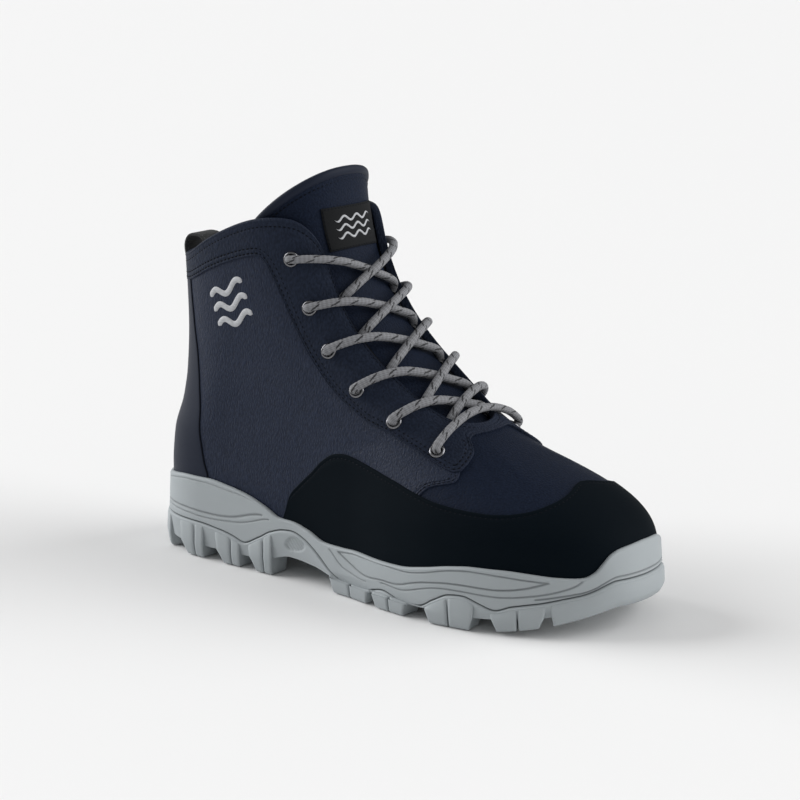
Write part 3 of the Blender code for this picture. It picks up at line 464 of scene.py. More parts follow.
# share of length, sideways, half length, half width, turn in degrees
MIDDLE_LUGS = np.array([
    (0.13, 0.00, 0.036, 0.20, 0),
    (0.24, 0.00, 0.036, 0.20, 0),
    (0.49, -0.22, 0.026, 0.15, 18),
    (0.49, 0.16, 0.026, 0.15, -18),
    (0.585, -0.26, 0.026, 0.18, 18),
    (0.585, 0.20, 0.026, 0.18, -18),
    (0.68, -0.26, 0.026, 0.19, 18),
    (0.68, 0.22, 0.026, 0.19, -18),
    (0.775, -0.22, 0.026, 0.18, 18),
    (0.775, 0.26, 0.026, 0.18, -18),
    (0.865, 0.04, 0.022, 0.24, 0),
])
# share along the crown line, distance off its middle as share of half the ball
EYELETS = np.array([
    (0.406, 0.630),
    (0.498, 0.660),
    (0.586, 0.690),
    (0.666, 0.685),
    (0.737, 0.672),
    (0.816, 0.690),
])
LOWEST_CROSSING = (0.446, 0.48)
DRAIN_AROUND, DRAIN_UP = 0.335, 0.125
# share along the crown line, reach down its side as share of half the ball
TONGUE = np.array([
    (0.372, 0.14),
    (0.400, 0.20),
    (0.450, 0.32),
    (0.550, 0.48),
    (0.650, 0.56),
    (0.780, 0.66),
    (0.880, 0.74),
    (1.000, 0.78),
])
TONGUE_TOP = 0.875
TONGUE_ARCH = 0.075
TONGUE_LOW = 0.374
# pull loop: place behind the back line and over the collar, shares of the collar's height
LOOP = np.array([
    (-0.0165, -0.170),
    (-0.024, -0.125),
    (-0.046, -0.075),
    (-0.066, -0.025),
    (-0.066, 0.015),
    (-0.046, 0.040),
    (-0.018, 0.044),
    (0.012, 0.036),
    (0.028, 0.008),
    (0.031, -0.035),
    (0.031, -0.085),
])
LOOP_WIDTH = 0.10 * COLLAR_HEIGHT
LOOP_THICK = 0.0016
# runs of the lace: share of the way from the middle to an eyelet, height over the form
RUN_UNDER = np.array([
    (-1.00, 0.0053),
    (-0.90, 0.0052),
    (-0.74, 0.0046),
    (-0.54, 0.0030),
    (-0.25, 0.0004),
    (0.00, -0.0004),
    (0.26, -0.0008),
    (0.56, -0.0008),
])
RUN_OVER = np.array([
    (-0.56, -0.0008),
    (-0.30, 0.0010),
    (0.00, 0.0035),
    (0.28, 0.0040),
    (0.52, 0.0045),
    (0.74, 0.0047),
    (0.90, 0.0052),
    (1.00, 0.0053),
])
RUN_BAR = np.array([
    (-1.00, 0.0053),
    (-0.88, 0.0051),
    (-0.60, 0.0046),
    (-0.30, 0.0044),
    (0.00, 0.0044),
    (0.30, 0.0044),
    (0.60, 0.0046),
    (0.88, 0.0051),
    (1.00, 0.0053),
])


def plan_out(ring):
    along = np.roll(ring, -1, axis=0) - np.roll(ring, 1, axis=0)
    out = unit(np.column_stack([along[:, 1], -along[:, 0]]))
    centre = ring[:, :2].mean(axis=0)
    return out if ((ring[:, :2] - centre) * out).sum() > 0 else -out


def across_crown(along, sideways, reach):
    """Surface points over the crown; sideways runs -1 to 1 over the given reach below the crown line."""
    start, out = on_crown_line(along)
    spot = start - out * (reach * np.abs(sideways) ** ROUND_POWER)[..., None]
    x, z = spot[..., 0], spot[..., 1]
    return np.stack([x, centre_y(x, z) + np.sign(sideways) * half_width(x, z), z], -1)


def net_out(net):
    out = unit(np.cross(np.gradient(net, axis=0), np.gradient(net, axis=1)))
    return out if (out[..., 0] + out[..., 2]).sum() > 0 else -out


def tongue_net(along_low, along_high, sideways, rows):
    """Points and directions on the form under the tongue; along_high may vary across."""
    t = np.linspace(0, 1, rows)[:, None]
    along = along_low + (along_high - along_low) * t
    sideways = np.broadcast_to(sideways, along.shape)
    reach = HALF_BALL * monotone(TONGUE, 1, along)
    net = across_crown(along, sideways, reach)
    return net, net_out(net)


def crown_frame(along, sideways):
    """Point on the form at a place over the crown, with its outward direction."""
    step = 0.004
    spot = place_on_crown(along, sideways)
    up = place_on_crown(along + step, sideways) - place_on_crown(along - step, sideways)
    side = place_on_crown(along, sideways + 0.001) - place_on_crown(along, sideways - 0.001)
    out = unit(np.cross(up, side))
    return spot, np.where((out[..., 0] + out[..., 2] > 0)[..., None], out, -out)


# Fine surface net of the upper: u runs round the boot (0 heel, 1 toe, 2 heel),
# v from feather (0) to top edge (1)
SKIN_COLUMNS = 64
SKIN_ROWS = 121
SKIN_PAD = 4
# rough length of half the way round the upper
HALF_ROUND = 0.39


def skin_net():
    grid = form_grid(SKIN_COLUMNS, 61)
    ring = np.concatenate([grid[0], grid[1][-2:0:-1]])
    run = np.zeros(ring.shape[:2])
    run[:, 1:] = np.cumsum(np.linalg.norm(np.diff(ring, axis=1), axis=2), axis=1)
    shares = np.linspace(0, 1, SKIN_ROWS)
    net = np.empty((len(ring), SKIN_ROWS, 3))
    for i in range(len(ring)):
        for k in range(3):
            net[i, :, k] = np.interp(shares * run[i, -1], run[i], ring[i, :, k])
    low = [net[:, 0] - (net[:, 1] - net[:, 0]) * s for s in range(SKIN_PAD, 0, -1)]
    high = [net[:, -1] + (net[:, -1] - net[:, -2]) * s for s in range(1, SKIN_PAD + 1)]
    return np.concatenate([np.stack(low, 1), net, np.stack(high, 1)], 1), run[:, -1]


SKIN, SKIN_LENGTH = skin_net()


def cubic(t):
    return np.stack([(-t + 2 * t * t - t ** 3) / 2, (2 - 5 * t * t + 3 * t ** 3) / 2,
                     (t + 4 * t * t - 3 * t ** 3) / 2, (t ** 3 - t * t) / 2], -1)


def skin_point(u, v):
    a = np.mod(u, 2) * (SKIN_COLUMNS - 1)
    i = np.floor(a).astype(int)
    b = v * (SKIN_ROWS - 1) + SKIN_PAD
    j = np.clip(np.floor(b).astype(int), 1, SKIN.shape[1] - 3)
    wa = cubic(a - i)
    wb = cubic(b - j)
    total = 0
    for k in range(4):
        for m in range(4):
            weight = (wa[..., k] * wb[..., m])[..., None]
            total = total + weight * SKIN[(i + k - 1) % len(SKIN), j + m - 1]
    return total


def skin_frame(u, v):
    """Point, outward direction and upward direction along the column."""
    u, v = np.broadcast_arrays(np.asarray(u, float), np.asarray(v, float))
    step = 0.004
    across = skin_point(u + step, v) - skin_point(u - step, v)
    up = skin_point(u, v + step) - skin_point(u, v - step)
    return skin_point(u, v), unit(np.cross(across, up)), unit(up)


def line(table, at):
    return monotone(table, 1, np.minimum(np.mod(at, 2), 2 - np.mod(at, 2)))


# Mesh helpers

def mesh_piece(name, points, faces, finish, replaced=(), smooth=40, colours=None):
    """Mesh from numpy points and a list of face arrays (triangles or quads), riding on the root."""
    mesh = bpy.data.meshes.new(name)
    loops = np.concatenate([f.ravel() for f in faces])
    sizes = np.concatenate([np.full(len(f), f.shape[1]) for f in faces])
    starts = np.concatenate([[0], np.cumsum(sizes)[:-1]])
    mesh.vertices.add(len(points))
    mesh.vertices.foreach_set("co", np.asarray(points, np.float32).ravel())
    mesh.loops.add(len(loops))
    mesh.loops.foreach_set("vertex_index", loops.astype(np.int32))
    mesh.polygons.add(len(sizes))
    mesh.polygons.foreach_set("loop_start", starts.astype(np.int32))
    mesh.update(calc_edges=True)
    mesh.validate()
    mesh.polygons.foreach_set("use_smooth", np.ones(len(mesh.polygons), bool))
    mesh.set_sharp_from_angle(angle=math.radians(smooth))
    if colours is not None:
        layer = mesh.color_attributes.new("tint", "FLOAT_COLOR", "POINT")
        opaque = np.column_stack([colours, np.ones(len(points))])
        layer.data.foreach_set("color", opaque.ravel().astype(np.float32))
    return place(name, mesh, finish, replaced)


def place(name, mesh, finish, replaced=()):
    made = bpy.data.objects.new(name, mesh)
    bpy.context.scene.collection.objects.link(made)
    mesh.materials.append(finish)
    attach(made, "root")
    if replaced:
        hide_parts(*replaced)
    return made


def grid_faces(n, m, closed_n=False, closed_m=False, first=0):
    i = np.arange(n if closed_n else n - 1)
    j = np.arange(m if closed_m else m - 1)
    i, j = np.meshgrid(i, j, indexing="ij")
    a = i * m + j
    b = (i + 1) % n * m + j
    c = (i + 1) % n * m + (j + 1) % m
    d = i * m + (j + 1) % m
    return first + np.stack([a, b, c, d], -1).reshape(-1, 4)


def facing_out(points, faces):
    """Turns all faces round if the closed mesh is inside out."""
    volume = 0.0
    for f in faces:
        p = points[f]
        for k in range(1, f.shape[1] - 1):
            volume += np.einsum("ij,ij->i", p[:, 0], np.cross(p[:, k], p[:, k + 1])).sum()
    return faces if volume > 0 else [f[:, ::-1] for f in faces]


def rounded(radius, seams=(), dent=0.00022):
    """Rounded border of a laid-on piece, with a furrow under each seam: distance inward, drop."""
    turn = np.linspace(0, math.pi / 2, 6)
    rows = [(radius * (1 - math.cos(t)), radius * (1 - math.sin(t))) for t in turn]
    for distance in seams:
        for aside, drop in ((-0.00064, 0), (-0.00024, dent), (0.00024, dent), (0.00064, 0)):
            rows.append((distance + aside, drop))
    return np.array(rows)


def shares(length, count, low=None, high=None):
    """Shares along lines of given lengths, closer at shaped borders, and the drop at each share."""
    length = np.atleast_1d(length)[:, None]
    low = np.zeros((1, 2)) if low is None else low
    high = np.zeros((1, 2)) if high is None else high
    head = low[:, 0] * np.minimum(1 / length, 0.45 / max(low[-1, 0], 1e-9))
    tail = 1 - high[::-1, 0] * np.minimum(1 / length, 0.45 / max(high[-1, 0], 1e-9))
    inner = np.linspace(0, 1, count + 2)[1:-1]
    middle = head[:, -1:] + (tail[:, :1] - head[:, -1:]) * inner
    drop = np.concatenate([low[:, 1], np.zeros(count), high[::-1, 1]])
    return np.concatenate([head, middle, tail], 1), np.broadcast_to(drop, (len(length), len(drop)))


def relief(u, v):
    """Soft creases and padding, metres along the outward direction."""
    side = np.minimum(np.mod(u, 2), 2 - np.mod(u, 2))
    lift = np.zeros(np.broadcast(u, v).shape)
    for cu, cv, lu, lv, turn, depth in CREASES:
        a = math.radians(turn)
        x = (side - cu) * 2.6
        y = v - cv
        along = x * math.cos(a) + y * math.sin(a)
        away = -x * math.sin(a) + y * math.cos(a)
        lift = lift + depth * np.exp(-(along / lu) ** 2 - (away / lv) ** 2)
    return lift


def laid(u, v, height):
    p, out, _ = skin_frame(u, v)
    return p + out * (relief(u, v) + height)[..., None]


def slab(name, u, v, drop, top, bottom, finish, replaced=(), closed=False, cutter=None):
    """Closed sheet laid over a grid of (u, v) places between two heights; drop shapes its upper face."""
    n, m = u.shape
    outer = laid(u, v, top - drop)
    inner = laid(u, v, np.full(u.shape, bottom))
    points = np.concatenate([outer.reshape(-1, 3), inner.reshape(-1, 3)])
    faces = [grid_faces(n, m, closed), grid_faces(n, m, closed, first=n * m)[:, ::-1]]
    rims = [(np.arange(n) * m, True), (np.arange(n) * m + m - 1, False)]
    for rim, flip in rims:
        nxt = np.roll(rim, -1) if closed else rim[1:]
        now = rim if closed else rim[:-1]
        wall = np.stack([now, nxt, nxt + n * m, now + n * m], -1)
        faces.append(wall[:, ::-1] if flip else wall)
    if not closed:
        for rim, flip in ((np.arange(m), False), (np.arange(m) + (n - 1) * m, True)):
            wall = np.stack([rim[:-1], rim[1:], rim[1:] + n * m, rim[:-1] + n * m], -1)
            faces.append(wall[:, ::-1] if flip else wall)
    faces = facing_out(points, faces)
    made = mesh_piece(name, points, faces, finish, replaced)
    if cutter:
        step = made.modifiers.new("holes", "BOOLEAN")
        step.operation = "DIFFERENCE"
        step.solver = "EXACT"
        step.object = cutter
        depsgraph = bpy.context.evaluated_depsgraph_get()
        made.data = bpy.data.meshes.new_from_object(made.evaluated_get(depsgraph))
        made.modifiers.clear()
    return made


def column_length(u):
    """Length of the upper's surface from feather to top edge."""
    lengths = np.append(SKIN_LENGTH, SKIN_LENGTH[0])
    return np.interp(np.mod(u, 2) * (SKIN_COLUMNS - 1), np.arange(len(lengths)), lengths)


def even_along(line, low, high, count):
    """Places round the upper, evenly spaced along a line on its surface."""
    u = np.linspace(low, high, 4001)
    step = np.hypot(np.diff(u) * HALF_ROUND, np.diff(line(u)) * column_length(u[1:]))
    run = np.concatenate([[0], np.cumsum(step)])
    return np.interp(np.linspace(0, run[-1], count), run, u)


def strip(u, v_low, v_high, rows, low=None, high=None, ends=None):
    """Grid of places and drops between two lines that are functions of u; ends shape its two ends."""
    across = 0.0
    if ends is not None:
        reach = abs(u[-1] - u[0]) * HALF_ROUND
        s, across = shares(reach, len(u) - 2, ends, ends)
        u = u[0] + (u[-1] - u[0]) * s[0]
        across = across[0][:, None]
    start, end = v_low(u), v_high(u)
    t, drop = shares((end - start) * column_length(u), rows, low, high)
    v = start[:, None] + (end - start)[:, None] * t
    return np.broadcast_to(u[:, None], v.shape), v, np.maximum(drop, across)


def tube_rings(path, normal, width, height, sides, power=2.0):
    """Rings of a rounded tube along a path; width lies across, height along the normal."""
    tangent = unit(np.gradient(path, axis=0))
    normal = unit(normal - (normal * tangent).sum(1)[:, None] * tangent)
    across = np.cross(tangent, normal)
    angle = np.linspace(0, 2 * math.pi, sides, endpoint=False)
    c = np.sign(np.cos(angle)) * np.abs(np.cos(angle)) ** (2 / power)
    s = np.sign(np.sin(angle)) * np.abs(np.sin(angle)) ** (2 / power)
    width = np.broadcast_to(width, len(path))[:, None, None]
    height = np.broadcast_to(height, len(path))[:, None, None]
    aside = across[:, None] * c[:, None] * width / 2
    return path[:, None] + aside + normal[:, None] * s[:, None] * height / 2


def tube_faces(n, m, first=0):
    """Side quads and fan caps of a tube with n rings of m points; two cap centres follow the rings."""
    sides = grid_faces(n, m, closed_m=True, first=first)
    k = np.arange(m)
    centre = first + n * m
    last = first + (n - 1) * m
    low = np.stack([np.full(m, centre), first + (k + 1) % m, first + k], -1)
    high = np.stack([np.full(m, centre + 1), last + k, last + (k + 1) % m], -1)
    return sides, np.concatenate([low, high])


def tubes(name, rings, finish, replaced=(), smooth=60, colours=None):
    """One piece from several capped tubes, each an array of rings."""
    points, quads, caps, tint = [], [], [], []
    first = 0
    for k, ring in enumerate(rings):
        n, m = ring.shape[:2]
        points += [ring.reshape(-1, 3), np.array([ring[0].mean(0), ring[-1].mean(0)])]
        side, cap = tube_faces(n, m, first)
        turn = np.cross(ring[0, 1] - ring[0, 0], ring[0, 2] - ring[0, 0])
        if turn @ (ring[1, 0] - ring[0, 0]) <= 0:
            side, cap = side[:, ::-1], cap[:, ::-1]
        quads.append(side)
        caps.append(cap)
        if colours is not None:
            tint += [colours[k].reshape(-1, 3), np.array([colours[k][0, 0], colours[k][-1, 0]])]
        first += n * m + 2
    tint = np.concatenate(tint) if tint else None
    faces = [np.concatenate(quads), np.concatenate(caps)]
    return mesh_piece(name, np.concatenate(points), faces, finish, replaced, smooth, tint)


def stitch_row(points, out, pitch, length, width, rise):
    """Rings of small rounded stitches along a line of points."""
    run = run_along(points)
    count = int(run[-1] / pitch)
    rings = []
    t = np.linspace(-1, 1, 5)
    for c in (np.arange(count) + 0.5) * run[-1] / count:
        at = np.clip(c + t * length / 2, 0, run[-1])
        p = np.stack([np.interp(at, run, points[:, k]) for k in range(3)], 1)
        o = np.stack([np.interp(at, run, out[:, k]) for k in range(3)], 1)
        fat = np.sqrt(np.clip(1 - (t * 0.985) ** 4, 0.02, 1))
        arch = rise * (1 - t ** 2) - 0.0002
        rings.append(tube_rings(p + o * arch[:, None], o, width * fat, width * 0.8 * fat, 6))
    return rings


# Materials

def finish(name, colour, roughness, metallic=0.0, grain=0.0, size=0.001, stretch=(1, 1, 1),
           turn=(0, 0, 0), specks=0.0, tint=False, gloss=0.5):
    """Principled material; grain is a bump of that height and size in metres, specks vary its colour."""
    made = bpy.data.materials.new(name)
    made.use_nodes = True
    nodes, links = made.node_tree.nodes, made.node_tree.links
    shader = nodes["Principled BSDF"]
    shader.inputs["Base Color"].default_value = (*colour, 1)
    shader.inputs["Roughness"].default_value = roughness
    shader.inputs["Metallic"].default_value = metallic
    shader.inputs["Specular IOR Level"].default_value = gloss
    if grain:
        coords = nodes.new("ShaderNodeTexCoord")
        mapping = nodes.new("ShaderNodeMapping")
        mapping.inputs["Rotation"].default_value = [math.radians(a) for a in turn]
        mapping.inputs["Scale"].default_value = [s / size for s in stretch]
        noise = nodes.new("ShaderNodeTexNoise")
        noise.inputs["Scale"].default_value = 1.0
        noise.inputs["Detail"].default_value = 2.0
        bump = nodes.new("ShaderNodeBump")
        bump.inputs["Distance"].default_value = grain
        links.new(coords.outputs["Object"], mapping.inputs["Vector"])
        links.new(mapping.outputs["Vector"], noise.inputs["Vector"])
        links.new(noise.outputs["Fac"], bump.inputs["Height"])
        links.new(bump.outputs["Normal"], shader.inputs["Normal"])
        if specks:
            ramp = nodes.new("ShaderNodeMapRange")
            ramp.inputs["From Min"].default_value = 0.35
            ramp.inputs["From Max"].default_value = 0.65
            mix = nodes.new("ShaderNodeMix")
            mix.data_type = "RGBA"
            mix.inputs[6].default_value = (*[c * (1 - specks) for c in colour], 1)
            mix.inputs[7].default_value = (*[min(1, c * (1 + specks)) for c in colour], 1)
            links.new(noise.outputs["Fac"], ramp.inputs["Value"])
            links.new(ramp.outputs["Result"], mix.inputs["Factor"])
            links.new(mix.outputs[2], shader.inputs["Base Color"])
    if tint:
        source = nodes.new("ShaderNodeVertexColor")
        source.layer_name = "tint"
        links.new(source.outputs["Color"], shader.inputs["Base Color"])
    return made


NAVY = (0.0160, 0.0218, 0.0400)
BLACK = (0.0060, 0.0070, 0.0085)
RUBBER = (0.330, 0.360, 0.375)
CLOTH = finish("coated_cloth", NAVY, 0.50, grain=0.00065, size=0.0008, stretch=(1, 1, 0.4),
               turn=(0, 35, 0), specks=0.22, gloss=0.10)
VAMP = finish("vamp_cloth", (0.0075, 0.0118, 0.0245), 0.55, grain=0.00050, size=0.0010,
              specks=0.20, gloss=0.055)
FACING = finish("facing_cloth", (0.0130, 0.0182, 0.0330), 0.58, grain=0.00060, size=0.0010,
                stretch=(1, 1, 0.5), turn=(0, 30, 0), specks=0.22, gloss=0.08)
SMOOTH = finish("backstay_cloth", (0.0125, 0.0165, 0.0290), 0.50, grain=0.00006, size=0.0005,
                specks=0.06, gloss=0.09)
NUBUCK = finish("nubuck", (0.0016, 0.0040, 0.0066), 0.75, grain=0.00005, size=0.0004,
                specks=0.10, gloss=0.045)
LINING = finish("lining", BLACK, 0.85, grain=0.00020, size=0.0011, specks=0.25, gloss=0.10)
THREAD = finish("thread", (0.0030, 0.0042, 0.0075), 0.60, gloss=0.06)
RUBBERS = finish("rubber", RUBBER, 0.62, grain=0.00003, size=0.0006, tint=True, gloss=0.35)
TREAD = finish("tread_rubber", RUBBER, 0.62, grain=0.00003, size=0.0006, gloss=0.35)
METAL = finish("gunmetal", (0.17, 0.17, 0.18), 0.26, metallic=1.0)
LACE = finish("lace", (0.3, 0.3, 0.3), 0.80, tint=True)
GREY_THREAD = finish("grey_thread", (0.11, 0.11, 0.12), 0.7, gloss=0.2)
WEB = finish("webbing", (0.020, 0.021, 0.022), 0.85, grain=0.00035, size=0.0011,
             stretch=(1, 0.45, 1.4), specks=0.35)
LABEL = finish("woven_label", (0.0045, 0.0052, 0.0062), 0.75, grain=0.00012, size=0.0005,
               stretch=(1, 0.3, 1.6), gloss=0.15)
PALE = finish("pale_thread", (0.42, 0.43, 0.45), 0.55, grain=0.00020, size=0.0006,
              stretch=(0.3, 1, 1.4), specks=0.12)

# soft creases and dents: place u, v, half reach along and across, turn in degrees, depth
CREASES = np.array([
    (0.400, 0.560, 0.22, 0.030, 150, -0.0007),
    (0.370, 0.640, 0.20, 0.035, 152, 0.0005),
    (0.330, 0.470, 0.20, 0.040, 160, 0.0004),
    (0.250, 0.560, 0.20, 0.050, 170, -0.0005),
    (0.560, 0.420, 0.22, 0.030, 20, -0.0004),
    (0.850, 0.560, 0.16, 0.035, 60, -0.0005),
    (0.930, 0.660, 0.16, 0.040, 70, 0.0004),
    (0.200, 0.350, 0.25, 0.080, 90, 0.0006),
])

# lines on the upper: u, v
RIM_LINE = np.array([
    (0.000, 0.078), (0.070, 0.082), (0.115, 0.100), (0.157, 0.112), (0.198, 0.112), (0.242, 0.100),
    (0.286, 0.086), (0.321, 0.068), (0.351, 0.050), (0.379, 0.054), (0.411, 0.046), (0.446, 0.029),
    (0.486, 0.036), (0.522, 0.046), (0.565, 0.050), (0.621, 0.058), (0.665, 0.078), (0.716, 0.104),
    (0.748, 0.112), (0.790, 0.108), (0.825, 0.095), (0.863, 0.074), (0.898, 0.061), (0.912, 0.074),
    (0.924, 0.104), (0.937, 0.132), (0.952, 0.146), (0.975, 0.152), (1.000, 0.155),
])
RAND_LINE = np.array([
    (0.000, 0.030), (0.352, 0.045), (0.361, 0.082), (0.369, 0.131), (0.389, 0.178), (0.419, 0.233),
    (0.444, 0.281), (0.472, 0.319), (0.502, 0.338), (0.536, 0.346), (0.581, 0.350), (0.625, 0.348),
    (0.657, 0.340), (0.700, 0.328), (0.742, 0.323), (0.790, 0.320), (0.825, 0.326), (0.861, 0.344),
    (0.899, 0.382), (0.930, 0.420), (0.960, 0.462), (0.985, 0.497), (1.000, 0.508),
])
STAY_LINE = np.array([
    (0.000, 0.900), (0.200, 0.897), (0.330, 0.893), (0.350, 0.890), (0.362, 0.872), (0.371, 0.838),
    (0.383, 0.775), (0.395, 0.708), (0.411, 0.636), (0.429, 0.578), (0.452, 0.533), (0.476, 0.507),
    (0.510, 0.494), (0.545, 0.494), (0.601, 0.514), (0.643, 0.532), (0.692, 0.534), (0.732, 0.508),
    (0.760, 0.492), (0.778, 0.506), (0.804, 0.558), (0.845, 0.652), (0.880, 0.735), (0.905, 0.812),
    (0.925, 0.880), (0.945, 0.922), (0.970, 0.942), (1.000, 0.950),
])
# front edge of the quarter: way up from under the rim to under the facing, u
QUARTER_FRONT = np.array([
    (0.00, 0.600), (0.30, 0.640), (0.56, 0.680), (0.68, 0.714), (0.76, 0.738), (0.86, 0.764),
    (1.00, 0.790),
])
QUARTER_BACK = 0.12
# edge of the backstay: v, u
BACKSTAY_EDGE = np.array([
    (0.00, 0.200), (0.12, 0.196), (0.17, 0.189), (0.25, 0.183), (0.36, 0.176), (0.46, 0.167),
    (0.62, 0.153), (0.72, 0.143), (0.84, 0.139), (1.00, 0.139),
])


def rim(u):
    return line(RIM_LINE, u)


def rand_edge(u):
    return line(RAND_LINE, u)


def stay(u):
    return line(STAY_LINE, u)


def beside(u, v, distance):
    """Places a distance to the upper side of a line of (u, v) places, measured on the surface."""
    p, out, up = skin_frame(u, v)
    step = 0.002
    pu = (skin_point(u + step, v) - skin_point(u - step, v)) / (2 * step)
    pv = (skin_point(u, v + step) - skin_point(u, v - step)) / (2 * step)
    aside = np.cross(unit(np.gradient(p, axis=0)), out)
    aside *= np.sign((aside * up).sum(1))[:, None] * distance
    a, b, c = (pu * pu).sum(1), (pu * pv).sum(1), (pv * pv).sum(1)
    d, e = (aside * pu).sum(1), (aside * pv).sum(1)
    det = a * c - b * b
    return u + (d * c - e * b) / det, v + (a * e - b * d) / det


def seam(u, v, height, pitch=0.0028, length=0.0020, width=0.0007):
    """Stitches along places on the upper, their feet at a height over the form."""
    p, out, _ = skin_frame(u, v)
    p = p + out * (relief(u, v) + height)[:, None]
    keep = np.concatenate([[True], np.linalg.norm(np.diff(p, axis=0), axis=1) > 0.00005])
    return stitch_row(p[keep], out[keep], pitch, length, width, 0.00013)


# Upper

# heights of the laid-on pieces over the form, and how far their feet are sunk into it
QUARTER_RISE = 0.0007
BACKSTAY_RISE = 0.0013
RAND_RISE = 0.0014
FACING_RISE = 0.0015
SUNK = 0.0002
SHELL_THICK = 0.0016
# distances of the rows of stitches from a piece's edge
QUARTER_SEAMS = (0.0018, 0.0042)
FACING_SEAMS = (0.0016, 0.0042)
RAND_SEAM = 0.0024
COLLAR_SEAM = 0.0036
HOLE_RADIUS = 0.0031
COLLAR_STEPS, COLLAR_SIDES = 400, 20


def eyelet_frames():
    """Name, point and outward direction of each eyelet."""
    places = []
    for word, side in (("lat", -1), ("med", 1)):
        spots, outs = crown_frame(EYELETS[:, 0], side * HALF_BALL * EYELETS[:, 1])
        for i, (spot, out) in enumerate(zip(spots, outs)):
            places.append(("eyelet_%s_%d" % (word, i + 1), spot, out))
    spots, outs, _ = skin_frame(np.array([2 - DRAIN_AROUND]), np.array([DRAIN_UP]))
    places.append(("drain_eyelet", spots[0], outs[0]))
    return places


def hole_cutter(places):
    body = bmesh.new()
    for _, spot, out in places:
        turn = Vector(out).to_track_quat("Z", "Y").to_matrix().to_4x4()
        turn.translation = spot
        bmesh.ops.create_cone(body, cap_ends=True, segments=20, radius1=HOLE_RADIUS, radius2=HOLE_RADIUS,
                              depth=0.016, matrix=turn)
    mesh = bpy.data.meshes.new("holes")
    body.to_mesh(mesh)
    body.free()
    made = bpy.data.objects.new("holes", mesh)
    bpy.context.scene.collection.objects.link(made)
    return made


def dress_upper(cutter):
    around = np.linspace(0, 2, 341)[:-1]
    u, v, drop = strip(around, np.zeros_like, np.ones_like, 60, None, rounded(0.0008))
    slab("upper_shell", u, v, drop, 0.0, -SHELL_THICK, VAMP, ["upper"], closed=True, cutter=cutter)
    slab("lining", u[::2], v[::2], 0.0, -SHELL_THICK - 0.0001, -WALL, LINING, closed=True,
         cutter=cutter)


def dress_quarters(cutter):
    """Side panels, their front edges rounded and sewn down with two rows of stitches."""
    way = np.linspace(0, 1, 80)
    front = monotone(QUARTER_FRONT, 1, way)
    s, drop = shares((front - QUARTER_BACK) * HALF_ROUND, 90, None, rounded(0.0005, QUARTER_SEAMS))
    u = QUARTER_BACK + (front - QUARTER_BACK)[:, None] * s
    low, high = rim(u) - 0.02, stay(u) + 0.02
    v = low + (high - low) * way[:, None]
    way = np.linspace(0.5, 1, 60)
    front = monotone(QUARTER_FRONT, 1, way)
    height = rim(front) - 0.02 + (stay(front) + 0.04 - rim(front)) * way
    step = 0.01
    pace = step / np.linalg.norm(skin_point(front - step, height) - skin_point(front, height), axis=1)
    for word, lateral in (("lat", True), ("med", False)):
        slab("quarter_" + word, u if lateral else 2 - u, v, drop, QUARTER_RISE, -0.0003, CLOTH,
             cutter=None if lateral else cutter)
        rows = []
        for distance in QUARTER_SEAMS:
            around = front - distance * pace
            rows += seam(around if lateral else 2 - around, height, QUARTER_RISE - 0.0001, 0.0026, 0.0019)
        tubes("quarter_stitches_" + word, rows, THREAD)


def dress_rand():
    low, high = 0.354, 1.646
    around = even_along(rand_edge, low, high, 380)
    u, v, drop = strip(around, lambda a: rim(a) - 0.015, rand_edge, 20, None,
                       rounded(0.0007, (RAND_SEAM,), 0.00016), rounded(0.0006))
    slab("rand_skin", u, v, drop, RAND_RISE, -SUNK, NUBUCK, ["rand"])
    rows = []
    for start, end in ((low + 0.018, 0.99), (1.01, high - 0.018)):
        around = np.linspace(start, end, 300)
        rows += seam(*beside(around, rand_edge(around), -RAND_SEAM), RAND_RISE - 0.0001)
    tubes("rand_stitches", rows, THREAD)


def dress_backstay():
    way = np.linspace(0.06, 0.905, 90)
    edge = monotone(BACKSTAY_EDGE, 1, way)
    s, drop = shares(2 * edge * HALF_ROUND, 56, rounded(0.0006), rounded(0.0006))
    u = edge[:, None] * (2 * s - 1)
    v = np.broadcast_to(way[:, None], u.shape)
    slab("backstay_skin", u, v, drop, BACKSTAY_RISE, -SUNK, SMOOTH, ["backstay"])
    rings = []
    way = np.linspace(0.07, 0.895, 90)
    for side in (-1, 1):
        u = side * monotone(BACKSTAY_EDGE, 1, way)
        _, out, _ = skin_frame(u, way)
        rings.append(tube_rings(laid(u, way, np.full(90, QUARTER_RISE)), out, 0.0011, 0.0011, 8))
    tubes("backstay_piping", rings, THREAD)


def dress_facing(cutter):
    """Facing with both eyelet rows and the collar's band, one closed ring of cloth."""
    around = even_along(stay, 0, 2, 521)[:-1]
    u, v, drop = strip(around, stay, lambda a: np.full(len(a), 0.996), 22,
                       rounded(0.0005, FACING_SEAMS), rounded(0.0006, (0.0030,), 0.00015))
    slab("facing_skin", u, v, drop, FACING_RISE, SUNK, FACING, ["eyestay"], closed=True,
         cutter=cutter)
    foot = FACING_RISE - 0.0001
    rows = []
    for end, distance in zip((0.93, 0.92), FACING_SEAMS):
        around = np.linspace(0.02, end, 600)
        for u in (around, 2 - around):
            rows += seam(*beside(u, stay(u), distance), foot, width=0.0008)
    for around in (np.linspace(0.02, 0.965, 500), np.linspace(1.035, 1.98, 500)):
        rows += seam(around, 1 - COLLAR_SEAM / column_length(around), foot, 0.0026, 0.0019)
    tubes("facing_stitches", rows, THREAD)


